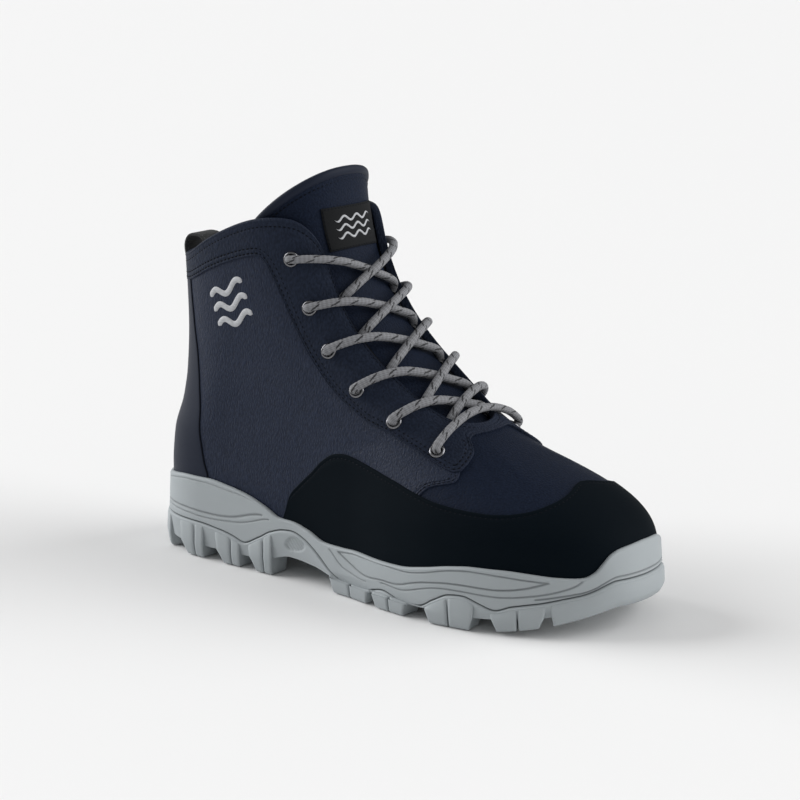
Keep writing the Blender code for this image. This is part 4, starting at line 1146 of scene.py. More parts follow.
def dress_collar():
    """Rounded edge all round the collar and throat."""
    around = np.linspace(0, 2, COLLAR_STEPS, endpoint=False)
    p, out, up = skin_frame(around, np.ones(COLLAR_STEPS))
    angle = np.linspace(0, 2 * math.pi, COLLAR_SIDES, endpoint=False)
    c = np.sign(np.cos(angle)) * np.abs(np.cos(angle)) ** 0.7
    s = np.sign(np.sin(angle)) * np.abs(np.sin(angle)) ** 0.9
    centre = p - out * 0.00065 - up * 0.0004
    ring = centre[:, None] + out[:, None] * (c * 0.00235)[:, None] + up[:, None] * (s * 0.0013)[:, None]
    points = ring.reshape(-1, 3)
    faces = facing_out(points, [grid_faces(COLLAR_STEPS, COLLAR_SIDES, True, True)])
    mesh_piece("collar_edge", points, faces, FACING)


# Tongue and label

LABEL_LOW = 0.812
LABEL_HIGH = 0.886
LABEL_THICK = 0.0012
# shares of the label's height at which its wave lines run
LABEL_WAVES = (0.71, 0.51, 0.31)


def tongue_reach(along):
    return HALF_BALL * monotone(TONGUE, 1, along)


def tongue_slab(name, s, t_low, t_high, rows, top, thick, colour, replaced=(), edge=0.0012):
    """Sheet following the crown between shares of the tongue, with rounded rims."""
    net, out = tongue_net(np.full(len(s), t_low), t_high, s, rows)
    n, m = net.shape[:2]
    run_t = np.concatenate([np.zeros((1, m)), np.cumsum(np.linalg.norm(np.diff(net, axis=0), axis=2), 0)])
    run_s = np.concatenate([np.zeros((n, 1)), np.cumsum(np.linalg.norm(np.diff(net, axis=1), axis=2), 1)], 1)
    away = np.minimum(np.minimum(run_t, run_t[-1:] - run_t), np.minimum(run_s, run_s[:, -1:] - run_s))
    drop = edge * (1 - np.sqrt(np.clip(1 - (1 - np.clip(away / edge, 0, 1)) ** 2, 0, 1)))
    outer = net + out * (top - drop)[..., None]
    inner = net + out * (top - thick + np.minimum(drop, thick / 2))[..., None]
    points = np.concatenate([outer.reshape(-1, 3), inner.reshape(-1, 3)])
    faces = [grid_faces(n, m), grid_faces(n, m, first=n * m)[:, ::-1]]
    across = np.arange(m)
    down = np.arange(1, n - 1) * m
    loop = np.concatenate([across, down + m - 1, ((n - 1) * m + across)[::-1], down[::-1]])
    nxt = np.roll(loop, -1)
    faces.append(np.stack([loop, nxt, nxt + n * m, loop + n * m], -1)[:, ::-1])
    return mesh_piece(name, points, facing_out(points, faces), colour, replaced, 50)


def tongue_top(s):
    return TONGUE_TOP + TONGUE_ARCH * (1 - np.abs(s) ** 2.2)


def tongue_place(across, along):
    """Point on the form under the tongue, with its outward direction."""
    reach = tongue_reach(along)
    step = 0.004
    side = across_crown(along, across + step, reach) - across_crown(along, across - step, reach)
    up = (across_crown(along + step, across, tongue_reach(along + step))
          - across_crown(along - step, across, tongue_reach(along - step)))
    out = unit(np.cross(side, up))
    return across_crown(along, across, reach), out * forward(out)


def forward(out):
    """1 where directions point forward and up, -1 where they point back."""
    return np.sign((out * [1, 0, 0.4]).sum(-1))[..., None]


def dress_tongue():
    t = np.linspace(0, 1, 81)
    closer_at_ends = 2 * np.clip(t - 0.32 / math.pi * np.sin(2 * math.pi * t), 0, 1) - 1
    pad = tongue_slab("tongue_pad", closer_at_ends, TONGUE_LOW, tongue_top(closer_at_ends), 150,
                      -TONGUE_INSET, TONGUE_THICK, VAMP, ["tongue"])
    around = np.linspace(-1, 1, 140)
    along = tongue_top(around)
    edge = across_crown(along, around, tongue_reach(along))
    up = unit(edge - across_crown(along - 0.02, around, tongue_reach(along - 0.02)))
    out = np.cross(unit(np.gradient(edge, axis=0)), up)
    out *= forward(out)
    middle = edge - out * (TONGUE_INSET + TONGUE_THICK / 2)
    tubes("tongue_binding", [tube_rings(middle - up * 0.0012, up, 0.0044, 0.0050, 16, 2.6)], SMOOTH)
    line_of_stitches = middle - up * 0.0058 + out * (TONGUE_THICK / 2 - 0.0001)
    rows = stitch_row(line_of_stitches, out, 0.0026, 0.0019, 0.0007, 0.0001)
    tubes("tongue_stitches", rows, THREAD)
    for word, low, high in (("lat", -1.0, -0.50), ("med", 0.50, 1.0)):
        tongue_slab("gusset_" + word, np.linspace(low, high, 24), TONGUE_LOW + 0.004, np.full(24, 0.84), 110,
                    -TONGUE_INSET + 0.0008, 0.0010, LINING, edge=0.0006)


def dress_label():
    top = LABEL_THICK - TONGUE_INSET
    tongue_slab("label_patch", np.linspace(-0.40, 0.40, 60), LABEL_LOW, np.full(60, LABEL_HIGH), 40, top,
                LABEL_THICK, LABEL, ["tongue_label"], edge=0.0004)
    rows = []
    level = np.linspace(-0.38, 0.38, 80)
    upright = np.linspace(LABEL_LOW + 0.003, LABEL_HIGH - 0.003, 60)
    sides = (
        (level, np.full(80, LABEL_LOW + 0.0025)),
        (level, np.full(80, LABEL_HIGH - 0.0025)),
        (np.full(60, -0.385), upright),
        (np.full(60, 0.385), upright),
    )
    for across, along in sides:
        p, out = tongue_place(across, along)
        rows += stitch_row(p + out * (top + 0.0001), out, 0.0022, 0.0016, 0.0005, 0.0001)
    tubes("label_stitches", rows, THREAD)
    rings = []
    for share in LABEL_WAVES:
        across = np.linspace(-0.27, 0.27, 120)
        along = LABEL_LOW + (LABEL_HIGH - LABEL_LOW) * share + 0.0042 * np.sin(across * 34)
        p, out = tongue_place(across, along)
        taper = np.clip((0.27 - np.abs(across)) / 0.05, 0.15, 1)
        rings.append(tube_rings(p + out * top, out, 0.0012 * taper, 0.0006, 8))
    tubes("label_waves", rings, PALE)


# Three plain embroidered waves on the outer side

EMBLEM_AROUND = 0.214
EMBLEM_LENGTH = 0.088
EMBLEM_LEVELS = (0.800, 0.745, 0.690)
EMBLEM_THREADS = 76


def dress_waves():
    rings = []
    t = np.linspace(0, 1, 260)
    for k, level in enumerate(EMBLEM_LEVELS):
        u = EMBLEM_AROUND + EMBLEM_LENGTH * t + 0.006 * k
        v = level + 0.018 * t + 0.015 * np.sin(t * 3 * math.pi)
        _, out, _ = skin_frame(u, v)
        taper = np.sqrt(np.clip(np.minimum(t, 1 - t) / 0.045, 0.03, 1))
        ridge = 1 + 0.05 * np.sin(t * 2 * math.pi * EMBLEM_THREADS)
        path = laid(u, v, np.full(len(t), QUARTER_RISE - 0.0001))
        rings.append(tube_rings(path, out, 0.0034 * taper, 0.0013 * taper * ridge, 12))
    tubes("emblem_waves", rings, PALE)


# Laces and eyelets

LACE_WIDTH = 0.0047
LACE_HEIGHT = 0.0041
LACE_SIDES = 28
LACE_STEP = 0.00045
# how much the lace lies higher near its eyelets than its runs say
LACE_LIFT = 0.0002
LACE_GREY = np.array([0.190, 0.193, 0.205])
BRAID_CELLS = 7
BRAID_PITCH = 0.0023
BRAID_RISE = 0.040
# painted shade and light on the braid: its colour is darker in the braid's hollows and lighter on its ridges
# by this share
BRAID_PAINTED_SHADE = 0.30
# dark flecks in pairs along the lace: spacing, half length, half turn, places round it
FLECK_GREY = np.array([0.012, 0.012, 0.014])
FLECK_SPACING = 0.0102
FLECK_HALF = 0.00135
FLECK_TURN = 0.21
FLECK_ANGLES = (0.25, 1.75, 3.35, 4.9)
FLECK_PAIR = ((0.0, 0.0), (0.20, 0.46))
# height over the eyelet's foot, and way back from it, of the points that lead down its hole
HOLE_DIP = np.array([0.0042, 0.0012, -0.0030, -0.0062])
HOLE_DRAW = np.array([0.0006, 0.0, 0.0, -0.0010])
# points of the stretch under the flap: way on, way down, way aside
FLAP_RUN = (
    (0.004, 0.0022, 0.0002),
    (0.009, 0.0052, 0.0006),
    (0.015, 0.0068, 0.0),
)
EYELET_SIDES = 48
EYELET_SEAT = 0.0012
DRAIN_SEAT = 0.0004
DRAIN_SCALE = 0.72
# section of an eyelet: distance from its middle, height
EYELET_OUTSIDE = (
    (0.0026, -0.0034), (0.0026, -0.0006), (0.00265, 0.0005), (0.00285, 0.0010), (0.0032, 0.00122),
    (0.0036, 0.00112), (0.0040, 0.00078), (0.00425, 0.00034), (0.0043, -0.0001),
)
EYELET_INSIDE = ((0.0040, -0.0001), (0.0034, 0.0001), (0.0031, -0.0006), (0.0031, -0.0034))


def lace_path(run, along, far):
    """Centre line of a run of the lace, outward directions and feet on the form."""
    spot, out = crown_frame(along, run[:, 0] * far)
    height = run[:, 1] + LACE_LIFT * blend(0.6, 0.9, np.abs(run[:, 0]))
    return spot + out * height[:, None], out, spot


def into_hole(points, out, spot, end):
    """Adds the turn into an eyelet's hole at the first (0) or last (-1) point."""
    inward = points[1 if end == 0 else -2] - points[end]
    inward = unit(inward - out[end] * (inward @ out[end]))
    extra = spot[end] + out[end] * HOLE_DIP[:, None] - inward * HOLE_DRAW[:, None]
    if end == 0:
        return np.concatenate([extra[::-1], points[1:]])
    return np.concatenate([points[:-1], extra])


def under_flap(points, out, end):
    """Adds a stretch that runs on under the flap at the first (0) or last (-1) point."""
    step = points[end] - points[1 if end == 0 else -2]
    step = unit(step - out * (step @ out))
    outward = np.array([0, np.sign(points[end][1]), 0])
    extra = np.array([points[end] + step * on - out * down + outward * aside for on, down, aside in FLAP_RUN])
    return np.concatenate([extra[::-1], points] if end == 0 else [points, extra])


def dress_laces():
    along = EYELETS[0, 0] + 0.024 * (1 - RUN_BAR[:, 0] ** 2)
    points, out, spot = lace_path(RUN_BAR, along, HALF_BALL * EYELETS[0, 1])
    points = into_hole(into_hole(points, out, spot, -1), out, spot, 0)
    lace_piece("lace_bar_braid", [points], ["lace_bar"], 0.0)
    for i in range(len(EYELETS) - 1):
        low_along, low_far = EYELETS[i] if i else LOWEST_CROSSING
        high_along, high_far = EYELETS[i + 1]
        paths = []
        for run, over in ((RUN_UNDER, False), (RUN_OVER, True)):
            t = (run[:, 0] - run[0, 0]) / (run[-1, 0] - run[0, 0])
            t = t if over else 1 - t
            along = low_along + (high_along - low_along) * t
            far = HALF_BALL * (low_far + (high_far - low_far) * t)
            points, out, spot = lace_path(run, along, far)
            hole, flap = (-1, 0) if over else (0, -1)
            paths.append(under_flap(into_hole(points, out, spot, hole), out[flap], flap))
        number = i + 1
        lace_piece("lace_cross_%d_braid" % number, paths, ["lace_cross_%d" % number], 0.37 * number)


def carried_normal(path):
    """Directions across a path that follow it without twisting."""
    normals = np.empty_like(path)
    normal = np.array([0.5, 0, 1.0])
    for j, tangent in enumerate(unit(np.gradient(path, axis=0))):
        normal = unit(normal - tangent * (normal @ tangent))
        normals[j] = normal
    return normals


def lace_colour(angle, run, braid, phase):
    """Grey braid, with painted shade in its hollows and painted light on its ridges, and pairs of dark
    flecks; run is the way along, phase shifts the flecks.
    """
    colour = LACE_GREY * (1 + BRAID_PAINTED_SHADE * braid)[..., None]
    cell = (run / FLECK_SPACING + phase) % 1.0
    for place_round in FLECK_ANGLES:
        for shift, offset in FLECK_PAIR:
            away = (cell + 0.20 - shift - 0.13 * place_round) % 1.0 - 0.5
            turn = (angle - place_round - offset - away * 2.4 + math.pi) % (2 * math.pi) - math.pi
            mark = (np.abs(away) * FLECK_SPACING < FLECK_HALF) & (np.abs(turn) < FLECK_TURN)
            colour = np.where(mark[..., None], FLECK_GREY, colour)
    return colour


def lace_piece(name, paths, replaced, phase):
    rings, colours = [], []
    angle = np.linspace(0, 2 * math.pi, LACE_SIDES, endpoint=False)
    for k, knots in enumerate(paths):
        length = run_along(knots)[-1]
        count = int(length / LACE_STEP)
        path = spline(knots, count)
        run = np.arange(count)[:, None] * length / count
        twist = run * math.pi / BRAID_PITCH
        braid = np.tanh(2.5 * np.cos(angle * BRAID_CELLS - twist) * np.cos(angle * BRAID_CELLS + twist))
        ring = tube_rings(path, carried_normal(path), LACE_WIDTH, LACE_HEIGHT, LACE_SIDES)
        centre = path[:, None]
        rings.append(centre + (ring - centre) * (1 + BRAID_RISE * braid)[..., None])
        colours.append(lace_colour(angle, run, braid, phase + 0.41 * k))
    tubes(name, rings, LACE, replaced, 80, colours)


def dress_eyelets(places):
    profile = np.concatenate([spline(EYELET_OUTSIDE, 22), spline(EYELET_INSIDE, 8)])
    angle = np.linspace(0, 2 * math.pi, EYELET_SIDES, endpoint=False)[:, None, None]
    for name, spot, out in places:
        drain = name.startswith("drain")
        scale, seat = (DRAIN_SCALE, DRAIN_SEAT) if drain else (1.0, EYELET_SEAT)
        side = unit(np.cross(out, [0.0, 0.0, 1.0]))
        round_it = np.cos(angle) * side + np.sin(angle) * np.cross(out, side)
        ring = spot + round_it * profile[None, :, :1] * scale + out * (profile[None, :, 1:] * scale + seat)
        points = ring.reshape(-1, 3)
        faces = facing_out(points, [grid_faces(EYELET_SIDES, len(profile), True, True)])
        mesh_piece(name + "_ring", points, faces, METAL, [name])


# Pull loop

# stretch of the loop's path that has stitches along its edges
LOOP_SEWN = slice(70, 200)


def dress_loop():
    x = back_x(COLLAR_HEIGHT) + COLLAR_HEIGHT * LOOP[:, 0]
    z = COLLAR_HEIGHT * (1 + LOOP[:, 1])
    path = spline(np.column_stack([x, np.zeros(len(LOOP)), z]), 260)
    normal = np.cross(unit(np.gradient(path, axis=0)), [0.0, 1.0, 0.0])
    middle = path - normal * LOOP_THICK / 2
    ring = tube_rings(middle, normal, LOOP_WIDTH, LOOP_THICK, 56, 7.0)
    tubes("loop_webbing", [ring], WEB, ["pull_loop"], 40)
    rows = []
    for side in (-1, 1):
        aside = [0, side * (LOOP_WIDTH / 2 - 0.0016), 0]
        for face in (-1, 1):
            edge = middle + face * normal * (LOOP_THICK / 2 - 0.0001) + aside
            rows += stitch_row(edge[LOOP_SEWN], face * normal[LOOP_SEWN], 0.0024, 0.0018, 0.0006, 0.0001)
    tubes("loop_stitches", rows, GREY_THREAD)


# Sole

AROUND_STEPS = 980
WALL_ROWS = 56
PLATE_INSET = 0.0080
BASE_INSET = LUG_PROUD + 0.0012
# way down from the parting wave to the outsole's full thickness
SEAT_DROP = 0.0016
# inset and way down from the parting wave of the outsole's rounded upper edge
EDGE_ROUND = (
    (0.0024, 0.0003),
    (0.0009, 0.0003),
    (0.0001, 0.0006),
    (-0.0004, 0.0011),
    (-0.0005, SEAT_DROP),
)
# where midsole and outsole part: around, way down the wall (1 is the CAD's parting line)
PARTING_WAVE = np.array([
    (0.000, 0.80), (0.100, 0.78), (0.184, 0.75), (0.229, 0.80), (0.256, 0.88), (0.284, 1.03),
    (0.311, 0.95), (0.335, 0.70), (0.358, 0.48), (0.385, 0.42), (0.405, 0.48), (0.430, 0.68),
    (0.458, 1.00), (0.484, 1.28), (0.509, 1.44), (0.540, 1.48), (0.576, 1.52), (0.602, 1.52),
    (0.631, 1.40), (0.655, 1.20), (0.680, 0.88), (0.706, 0.73), (0.730, 0.75), (0.753, 0.88),
    (0.775, 0.99), (0.800, 0.88), (0.840, 0.83), (0.875, 0.78), (0.913, 0.80), (0.951, 0.84),
    (1.000, 0.86),
])
# grooves of the wall: width, depth, knots (around, way down the wall)
WALL_LINES = (
    (0.0008, 0.00040, (
        (0.100, 0.100), (0.182, 0.070), (0.240, 0.080), (0.304, 0.030),
    )),
    (0.0013, 0.00060, (
        (0.030, 0.520), (0.110, 0.560), (0.180, 0.570), (0.218, 0.570), (0.267, 0.500), (0.316, 0.300),
    )),
    (0.0009, 0.00050, (
        (0.060, 0.610), (0.120, 0.640), (0.173, 0.650), (0.211, 0.650), (0.258, 0.620), (0.300, 0.540),
        (0.331, 0.310),
    )),
    (0.0009, 0.00045, (
        (0.462, 0.180), (0.469, 0.300), (0.485, 0.630), (0.511, 0.880), (0.545, 1.100),
    )),
    (0.0010, 0.00065, (
        (0.482, 0.170), (0.498, 0.380), (0.520, 0.630), (0.558, 0.950), (0.593, 0.960), (0.640, 0.560),
        (0.685, 0.420), (0.729, 0.470), (0.767, 0.490), (0.802, 0.460), (0.826, 0.370), (0.850, 0.190),
    )),
    (0.0009, 0.00055, (
        (0.482, 0.170), (0.530, 0.120), (0.569, 0.130), (0.613, 0.160), (0.645, 0.180), (0.682, 0.130),
        (0.740, 0.105), (0.776, 0.125), (0.811, 0.165), (0.850, 0.190),
    )),
    (0.0009, 0.00055, (
        (0.580, 1.150), (0.605, 1.060), (0.642, 0.780), (0.680, 0.570), (0.720, 0.620), (0.760, 0.660),
        (0.802, 0.650), (0.833, 0.600), (0.865, 0.480), (0.889, 0.270), (0.897, 0.080),
    )),
    (0.0009, 0.00060, (
        (0.832, 0.715), (0.875, 0.675), (0.913, 0.700), (0.951, 0.740), (1.010, 0.760),
    )),
)
# hollow with slanted ribs behind the heel's last lug: around, way down, half length, half height
SHANK_HOLLOW = (0.386, 0.98, 0.0062, 0.0042)
RIB_PITCH = 0.0030
# gap in the middle of a lug; how far a lug is longer at its top than on the ground, to heel and toe
SIPE = 0.0009
HEEL_SLANT = (0.0062, 0.0008)
FORE_SLANT = (0.0030, 0.0030)
LUG_BEVEL = 0.0006
# section of a lug: inset, level (None is the wall under the parting wave), lift, share of the slant
LUG_SECTION = (
    (LUG_DEPTH - 0.0015, GROUND, 0.0, 0.0),
    (0.0030, GROUND, 0.0, 0.0),
    (0.0020, GROUND, 0.0001, 0.0),
    (0.0014, GROUND, 0.0006, 0.05),
    (0.0009, GROUND, 0.0016, 0.12),
    (0.0002, TREAD_BASE, -0.0008, 0.60),
    (0.0, TREAD_BASE, 0.0004, 0.75),
    (-0.0009, None, -0.0014, 1.0),
    (-0.0006, None, -0.0004, 1.0),
    (0.0002, None, 0.0, 1.0),
    (LUG_STRIP, None, 0.0, 1.0),
    (LUG_STRIP + 0.001, TREAD_BASE, 0.0015, 0.7),
    (LUG_DEPTH, TREAD_BASE, 0.0015, 0.7),
)


def sole_outline(feather, side):
    """The sole's plan, set to its real length and width."""
    plan = feather[:, :2] + side * (FLARE * (0.8 + 0.2 * np.abs(side[:, 0])))[:, None]
    for k, size in ((0, SOLE_LENGTH), (1, BALL_WIDTH)):
        low, high = plan[:, k].min(), plan[:, k].max()
        plan[:, k] = (plan[:, k] - (low + high) / 2) * size / (high - low)
    return plan


def sole_z(x, level):
    return HEEL_HEIGHT * monotone(SOLE, level, share_of_length(x))


def outline_ring(inset, level, lift=0.0):
    plan = OUTLINE - PLAN_OUT * inset
    return np.column_stack([plan, sole_z(plan[:, 0], level) + lift])


# rings round the sole: places, the upper's lower edge, the plan, the wall's rim, foot and base
AROUND = np.linspace(0, 2, AROUND_STEPS, endpoint=False)
SIDE = np.minimum(AROUND, 2 - AROUND)
FEATHER, FEATHER_OUT, _ = skin_frame(AROUND, np.zeros(AROUND_STEPS))
PLAN_OUT = plan_out(FEATHER)
OUTLINE = sole_outline(FEATHER, PLAN_OUT)
HALF_GIRTH = run_along(OUTLINE[:AROUND_STEPS // 2])[-1]
EDGE, EDGE_OUT, EDGE_UP = skin_frame(AROUND, rim(AROUND))
WALL_TOP = EDGE + EDGE_OUT * (GAP + CUP)
WALL_FOOT = outline_ring(LUG_PROUD, PARTING)
BASE = outline_ring(BASE_INSET, TREAD_BASE)
WALL_TALL = np.linalg.norm(WALL_FOOT - WALL_TOP, axis=1)
BASE_TALL = np.linalg.norm(BASE - WALL_FOOT, axis=1)
PARTING_AT = line(PARTING_WAVE, AROUND)


def wall_ring(w, inset=0.0):
    """The wall at a way down for each column: from the rim (0) past the CAD's parting line (1)."""
    past = np.clip((w - 1) * WALL_TALL / BASE_TALL, 0, 0.80)
    down = np.minimum(w, 1)
    ring = WALL_TOP + (WALL_FOOT - WALL_TOP) * down[:, None] + (BASE - WALL_FOOT) * past[:, None]
    ring[:, :2] -= PLAN_OUT * np.broadcast_to(inset, AROUND_STEPS)[:, None]
    return ring


# the outsole's wall just under the parting wave, where the lugs grow out
LUG_SEAT = wall_ring(PARTING_AT + SEAT_DROP / WALL_TALL)


def groove_depth(u, w, height):
    """Depth at places on one side's wall; height is the wall's height at each place."""
    deep = np.zeros(u.shape)
    x, down, height = u.ravel() * HALF_GIRTH, w.ravel(), height.ravel()
    usual_height = 0.02
    for width, depth, knots in WALL_LINES:
        curve = spline(np.array(knots) * [HALF_GIRTH, usual_height], 240) / [1.0, usual_height]
        near = (x > curve[:, 0].min() - 0.01) & (x < curve[:, 0].max() + 0.01)
        tall = height[near]
        best = np.full(len(tall), 1.0)
        for start, end in zip(curve[:-1], curve[1:]):
            dx = end[0] - start[0]
            dw = (end[1] - start[1]) * tall
            px = x[near] - start[0]
            pw = (down[near] - start[1]) * tall
            t = np.clip((px * dx + pw * dw) / (dx * dx + dw * dw + 1e-12), 0, 1)
            best = np.minimum(best, np.hypot(px - t * dx, pw - t * dw))
        dip = np.zeros(u.size)
        dip[near] = depth * np.exp(-(best / (width / 2)) ** 4)
        deep = np.maximum(deep, dip.reshape(u.shape))
    return deep


def hollow_depth(w):
    """Oval hollow behind the heel lugs, with slanted ribs standing in it."""
    around, down, half_long, half_high = SHANK_HOLLOW
    x = (SIDE - around) * HALF_GIRTH
    y = (w - down) * WALL_TALL
    inside = np.clip(1.25 - np.hypot((x + 0.7 * y) / half_long, y / half_high), 0, 0.25) / 0.25
    ribs = 0.5 + 0.5 * np.cos((x - 0.9 * y) * 2 * math.pi / RIB_PITCH)
    return inside * (0.0005 + 0.0006 * ribs)


def closed_stack(name, rings, replaced, painted_shade):
    """Closed rubber body from rings one above the other, its colour darkened as painted shade where the shade
    values are near 1.
    """
    rings = np.stack(rings)
    levels, count = rings.shape[:2]
    points = rings.reshape(-1, 3)
    faces = [grid_faces(levels, count, closed_m=True)]
    half = count // 2
    i = np.arange(1, half - 1)
    strips, triangles = [], []
    for level, flip in ((0, False), (levels - 1, True)):
        low = level * count
        quad = np.stack([low + i, low + i + 1, low + count - i - 1, low + count - i], -1)
        tri = np.array([(low, low + 1, low + count - 1), (low + half - 1, low + half, low + half + 1)])
        strips.append(quad[:, ::-1] if flip else quad)
        triangles.append(tri[:, ::-1] if flip else tri)
    faces = facing_out(points, faces + strips + triangles)
    # painted shade: the rubber's colour is darkened by up to 0.42 where the shade values are 1
    colours = np.array(RUBBER) * (1 - 0.42 * painted_shade.reshape(-1, 1))
    return mesh_piece(name, points, faces, RUBBERS, replaced, 38, colours)


def dress_midsole():
    inner_edge = EDGE + EDGE_OUT * GAP
    corner = FEATHER + FEATHER_OUT * GAP
    corner[:, 2] = footbed_z(corner[:, 0])
    rings = [corner, corner + (inner_edge - corner) * 0.5]
    across = CUP / 2
    high = 0.8 * across
    lip = inner_edge + EDGE_OUT * across - EDGE_UP * high
    for angle in np.linspace(math.pi, 0, 9):
        rings.append(lip + EDGE_OUT * (across * math.cos(angle)) + EDGE_UP * (high * math.sin(angle)))
    first = np.linalg.norm(rings[-1] - WALL_TOP, axis=1) / WALL_TALL
    w = first + (PARTING_AT - first) * np.linspace(0, 1, WALL_ROWS)[:, None]
    deep = groove_depth(np.broadcast_to(SIDE, w.shape), w, np.broadcast_to(WALL_TALL, w.shape))
    deep += hollow_depth(w)
    deep += 0.0008 * np.clip(1 - (PARTING_AT - w) * WALL_TALL / 0.0007, 0, 1) ** 2
    rings += [wall_ring(down, dip) for down, dip in zip(w, deep)]
    under = wall_ring(PARTING_AT, 0.0022)
    under[:, 2] -= 0.0001
    rings += [under, outline_ring(PLATE_INSET, PLATE)]
    painted_shade = np.zeros((len(rings), AROUND_STEPS))
    # painted shade: the wall's colour darkens with the depth of its grooves, the heel hollow and the undercut
    # at the parting wave, where shade falls
    painted_shade[-2 - WALL_ROWS:-2] = np.clip(deep / 0.0006, 0, 1)
    closed_stack("midsole_wall", rings, ["midsole"], painted_shade)


def dress_plate():
    """The outsole's body: plate, rounded edge under the parting wave, wall down to the tread's base."""
    rings = [outline_ring(PLATE_INSET, PLATE, -GAP)]
    rings += [wall_ring(PARTING_AT + down / WALL_TALL, inset) for inset, down in EDGE_ROUND]
    top = rings[-1]
    for share in np.linspace(0.05, 1, 24):
        ring = top + (BASE - top) * share
        w = PARTING_AT + (SEAT_DROP + np.linalg.norm(ring - top, axis=1)) / WALL_TALL
        ring[:, :2] -= PLAN_OUT * hollow_depth(w)[:, None]
        rings.append(ring)
    rings.append(outline_ring(BASE_INSET + 0.0010, TREAD_BASE, -0.0003))
    painted_shade = np.zeros((len(rings), AROUND_STEPS))
    # painted shade: the plate top and the upper rounded edge of the outsole, tucked under the midsole's edge,
    # are coloured darker
    painted_shade[:3] = 1.0
    closed_stack("outsole_plate", rings, ["outsole"], painted_shade)


def ring_at(ring, around):
    """Values of a ring at places around it."""
    at = np.mod(around, 2) * AROUND_STEPS / 2
    low = np.floor(at).astype(int) % AROUND_STEPS
    part = (at - np.floor(at))[:, None]
    return ring[low] * (1 - part) + ring[(low + 1) % AROUND_STEPS] * part


def lug_block(start, end, side, slants):
    """Sweeps the lug's rounded section; returns rings with bevelled ends."""
    span = (end - start) * HALF_GIRTH
    share = LUG_BEVEL / span
    t = np.linspace(0, 1, max(8, int((end - start) * 160)))
    inner = t[(t > 1.5 * share) & (t < 1 - 1.5 * share)]
    t = np.concatenate([[0, 0.3 * share, share], inner, [1 - share, 1 - 0.3 * share, 1]])
    shrink = LUG_BEVEL * (1 - np.clip(np.minimum(t, 1 - t) / share, 0, 1)) ** 2
    rows = []
    for k, (inset, level, lift, slant) in enumerate(LUG_SECTION):
        around = start + (end - start) * t + slant / HALF_GIRTH * (slants[1] * t - slants[0] * (1 - t))
        around = 2 - around if side > 0 else around
        edge = ring_at(OUTLINE if level else LUG_SEAT, around)
        narrow = shrink if 2 <= k <= 8 else 0 * shrink
        plan = edge[:, :2] - ring_at(PLAN_OUT, around) * (inset + narrow[:, None])
        z = sole_z(plan[:, 0], level) if level else edge[:, 2]
        z = z + lift + (shrink if k <= 4 else 0) - (shrink if 7 <= k <= 9 else 0)
        rows.append(np.column_stack([plan, z]))
    return np.stack(rows, 1)


def dress_edge_lugs():
    blocks = []
    half = SIPE / 2 / HALF_GIRTH
    for start, end in EDGE_LUGS:
        back, front = HEEL_SLANT if end < 0.4 else FORE_SLANT
        middle = (start + end) / 2
        for side in (-1, 1):
            blocks.append(lug_block(start, middle - half, side, (back, 0.0)))
            blocks.append(lug_block(middle + half, end, side, (0.0, front)))
    blocks.append(lug_block(TOE_LUG, 2 - TOE_LUG, -1, (0.001, 0.001)))
    colours = [np.broadcast_to(RUBBER, block.shape) for block in blocks]
    tubes("outsole_lugs", blocks, RUBBERS, (), 38, colours)


def dress_middle_lugs():
    """Pairs of bevelled blocks under the sole, a little smaller on the ground than at their root."""
    body = bmesh.new()
    for share, sideways, half_length, half_across, turn in MIDDLE_LUGS:
        c, s = math.cos(math.radians(turn)), math.sin(math.radians(turn))
        for part in (-1, 1):
            block = bmesh.ops.create_cube(body, size=2.0)["verts"]
            before = set(body.verts) - set(block)
            edges = {e for v in block for e in v.link_edges}
            upright = [e for e in edges if abs(e.verts[0].co.z - e.verts[1].co.z) > 1]
            bmesh.ops.bevel(body, geom=upright, offset=0.3, segments=3, affect="EDGES")
            for vert in set(body.verts) - before:
                low = vert.co.z < 0
                taper = 0.88 if low else 1.0
                x = (vert.co.x * 0.45 + part * 0.55) * LAST_LENGTH * half_length * taper
                y = vert.co.y * HALF_BALL * half_across * taper
                vert.co.x = HEEL_X + LAST_LENGTH * share + x * c - y * s
                vert.co.y = HALF_BALL * sideways + x * s + y * c
                lift = 0.0 if low else 0.05 * HEEL_HEIGHT
                vert.co.z = float(sole_z(vert.co.x, GROUND if low else TREAD_BASE)) + lift
    mesh = bpy.data.meshes.new("middle_lugs")
    body.to_mesh(mesh)
    body.free()
    place("middle_lugs", mesh, TREAD)


# Floor, camera and light

AIM = math.radians(38.0)
DISTANCE = 1.3
CAMERA = Vector((DISTANCE * math.sin(AIM), -DISTANCE * math.cos(AIM), 0.402))
TARGET = Vector((0.0, 0.0, 0.098))
LENS = 112.0
FLOOR_REACH = 30
FLOOR_GREY = (0.83, 0.83, 0.83, 1)
SKY_STRENGTH = 0.39


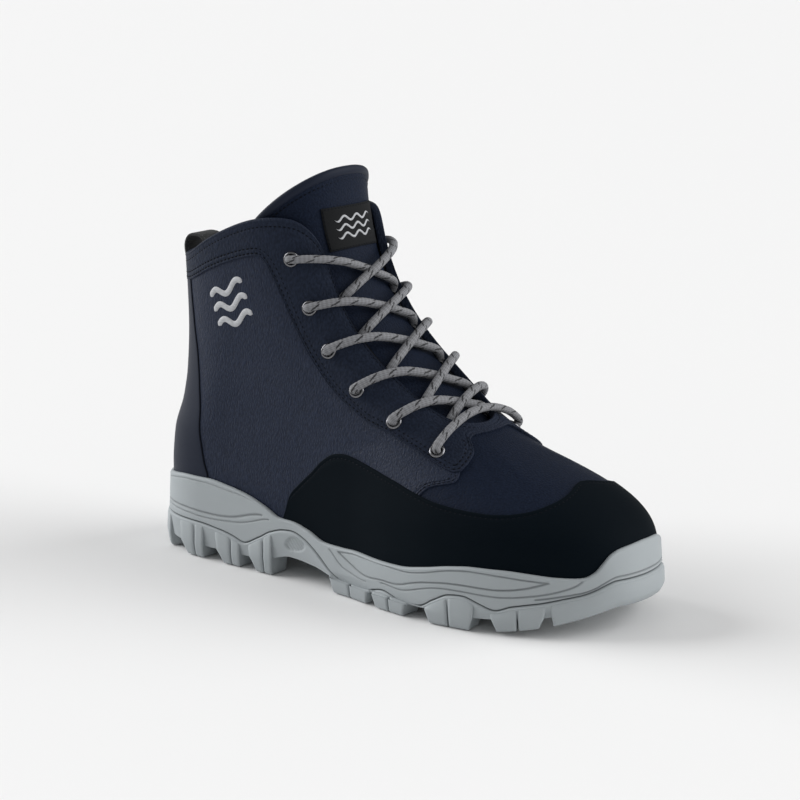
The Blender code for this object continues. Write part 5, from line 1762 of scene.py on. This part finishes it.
def add_stage():
    pale = bpy.data.materials.new("floor")
    pale.use_nodes = True
    shader = pale.node_tree.nodes["Principled BSDF"]
    shader.inputs["Base Color"].default_value = FLOOR_GREY
    shader.inputs["Roughness"].default_value = 0.9
    corners = [(x * FLOOR_REACH, y * FLOOR_REACH, 0) for x, y in ((-1, -1), (1, -1), (1, 1), (-1, 1))]
    mesh = bpy.data.meshes.new("floor")
    mesh.from_pydata(corners, [], [(0, 1, 2, 3)])
    floor = bpy.data.objects.new("floor", mesh)
    floor.location.z = -0.0004
    mesh.materials.append(pale)
    bpy.context.scene.collection.objects.link(floor)


def aim(thing, direction):
    thing.rotation_mode = "QUATERNION"
    thing.rotation_quaternion = direction.to_track_quat("-Z", "Y")
    bpy.context.scene.collection.objects.link(thing)


def add_camera():
    data = bpy.data.cameras.new("camera")
    data.lens = LENS
    data.sensor_width = 36
    camera = bpy.data.objects.new("camera", data)
    camera.location = CAMERA
    aim(camera, TARGET - CAMERA)
    bpy.context.scene.camera = camera


def add_sun(name, azimuth, elevation, strength, spread):
    """Soft parallel light; azimuth from the front of the picture, positive to its right."""
    data = bpy.data.lights.new(name, "SUN")
    data.energy = strength
    data.angle = math.radians(spread)
    turn = AIM + math.radians(azimuth)
    up = math.radians(elevation)
    direction = Vector((math.sin(turn) * math.cos(up), -math.cos(turn) * math.cos(up), math.sin(up)))
    lamp = bpy.data.objects.new(name, data)
    lamp.location = direction * 3
    aim(lamp, -direction)


def add_light_and_air():
    world = bpy.data.worlds.new("world")
    world.use_nodes = True
    sky = world.node_tree.nodes["Background"]
    sky.inputs["Color"].default_value = (1, 1, 1, 1)
    sky.inputs["Strength"].default_value = SKY_STRENGTH
    bpy.context.scene.world = world
    add_sun("key", azimuth=-110, elevation=27, strength=2.80, spread=45)
    add_sun("fill", azimuth=86, elevation=24, strength=2.40, spread=60)
    bpy.context.scene.view_settings.view_transform = "Standard"


def dress():
    places = eyelet_frames()
    cutter = hole_cutter(places)
    dress_upper(cutter)
    dress_quarters(cutter)
    dress_facing(cutter)
    bpy.data.objects.remove(cutter, do_unlink=True)
    dress_collar()
    dress_rand()
    dress_backstay()
    dress_waves()
    dress_tongue()
    dress_label()
    dress_laces()
    dress_eyelets(places)
    dress_loop()
    dress_midsole()
    dress_plate()
    dress_edge_lugs()
    dress_middle_lugs()
    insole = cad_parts["insole"]
    insole.data.materials.clear()
    insole.data.materials.append(LINING)


dress()
add_stage()
add_camera()
add_light_and_air()
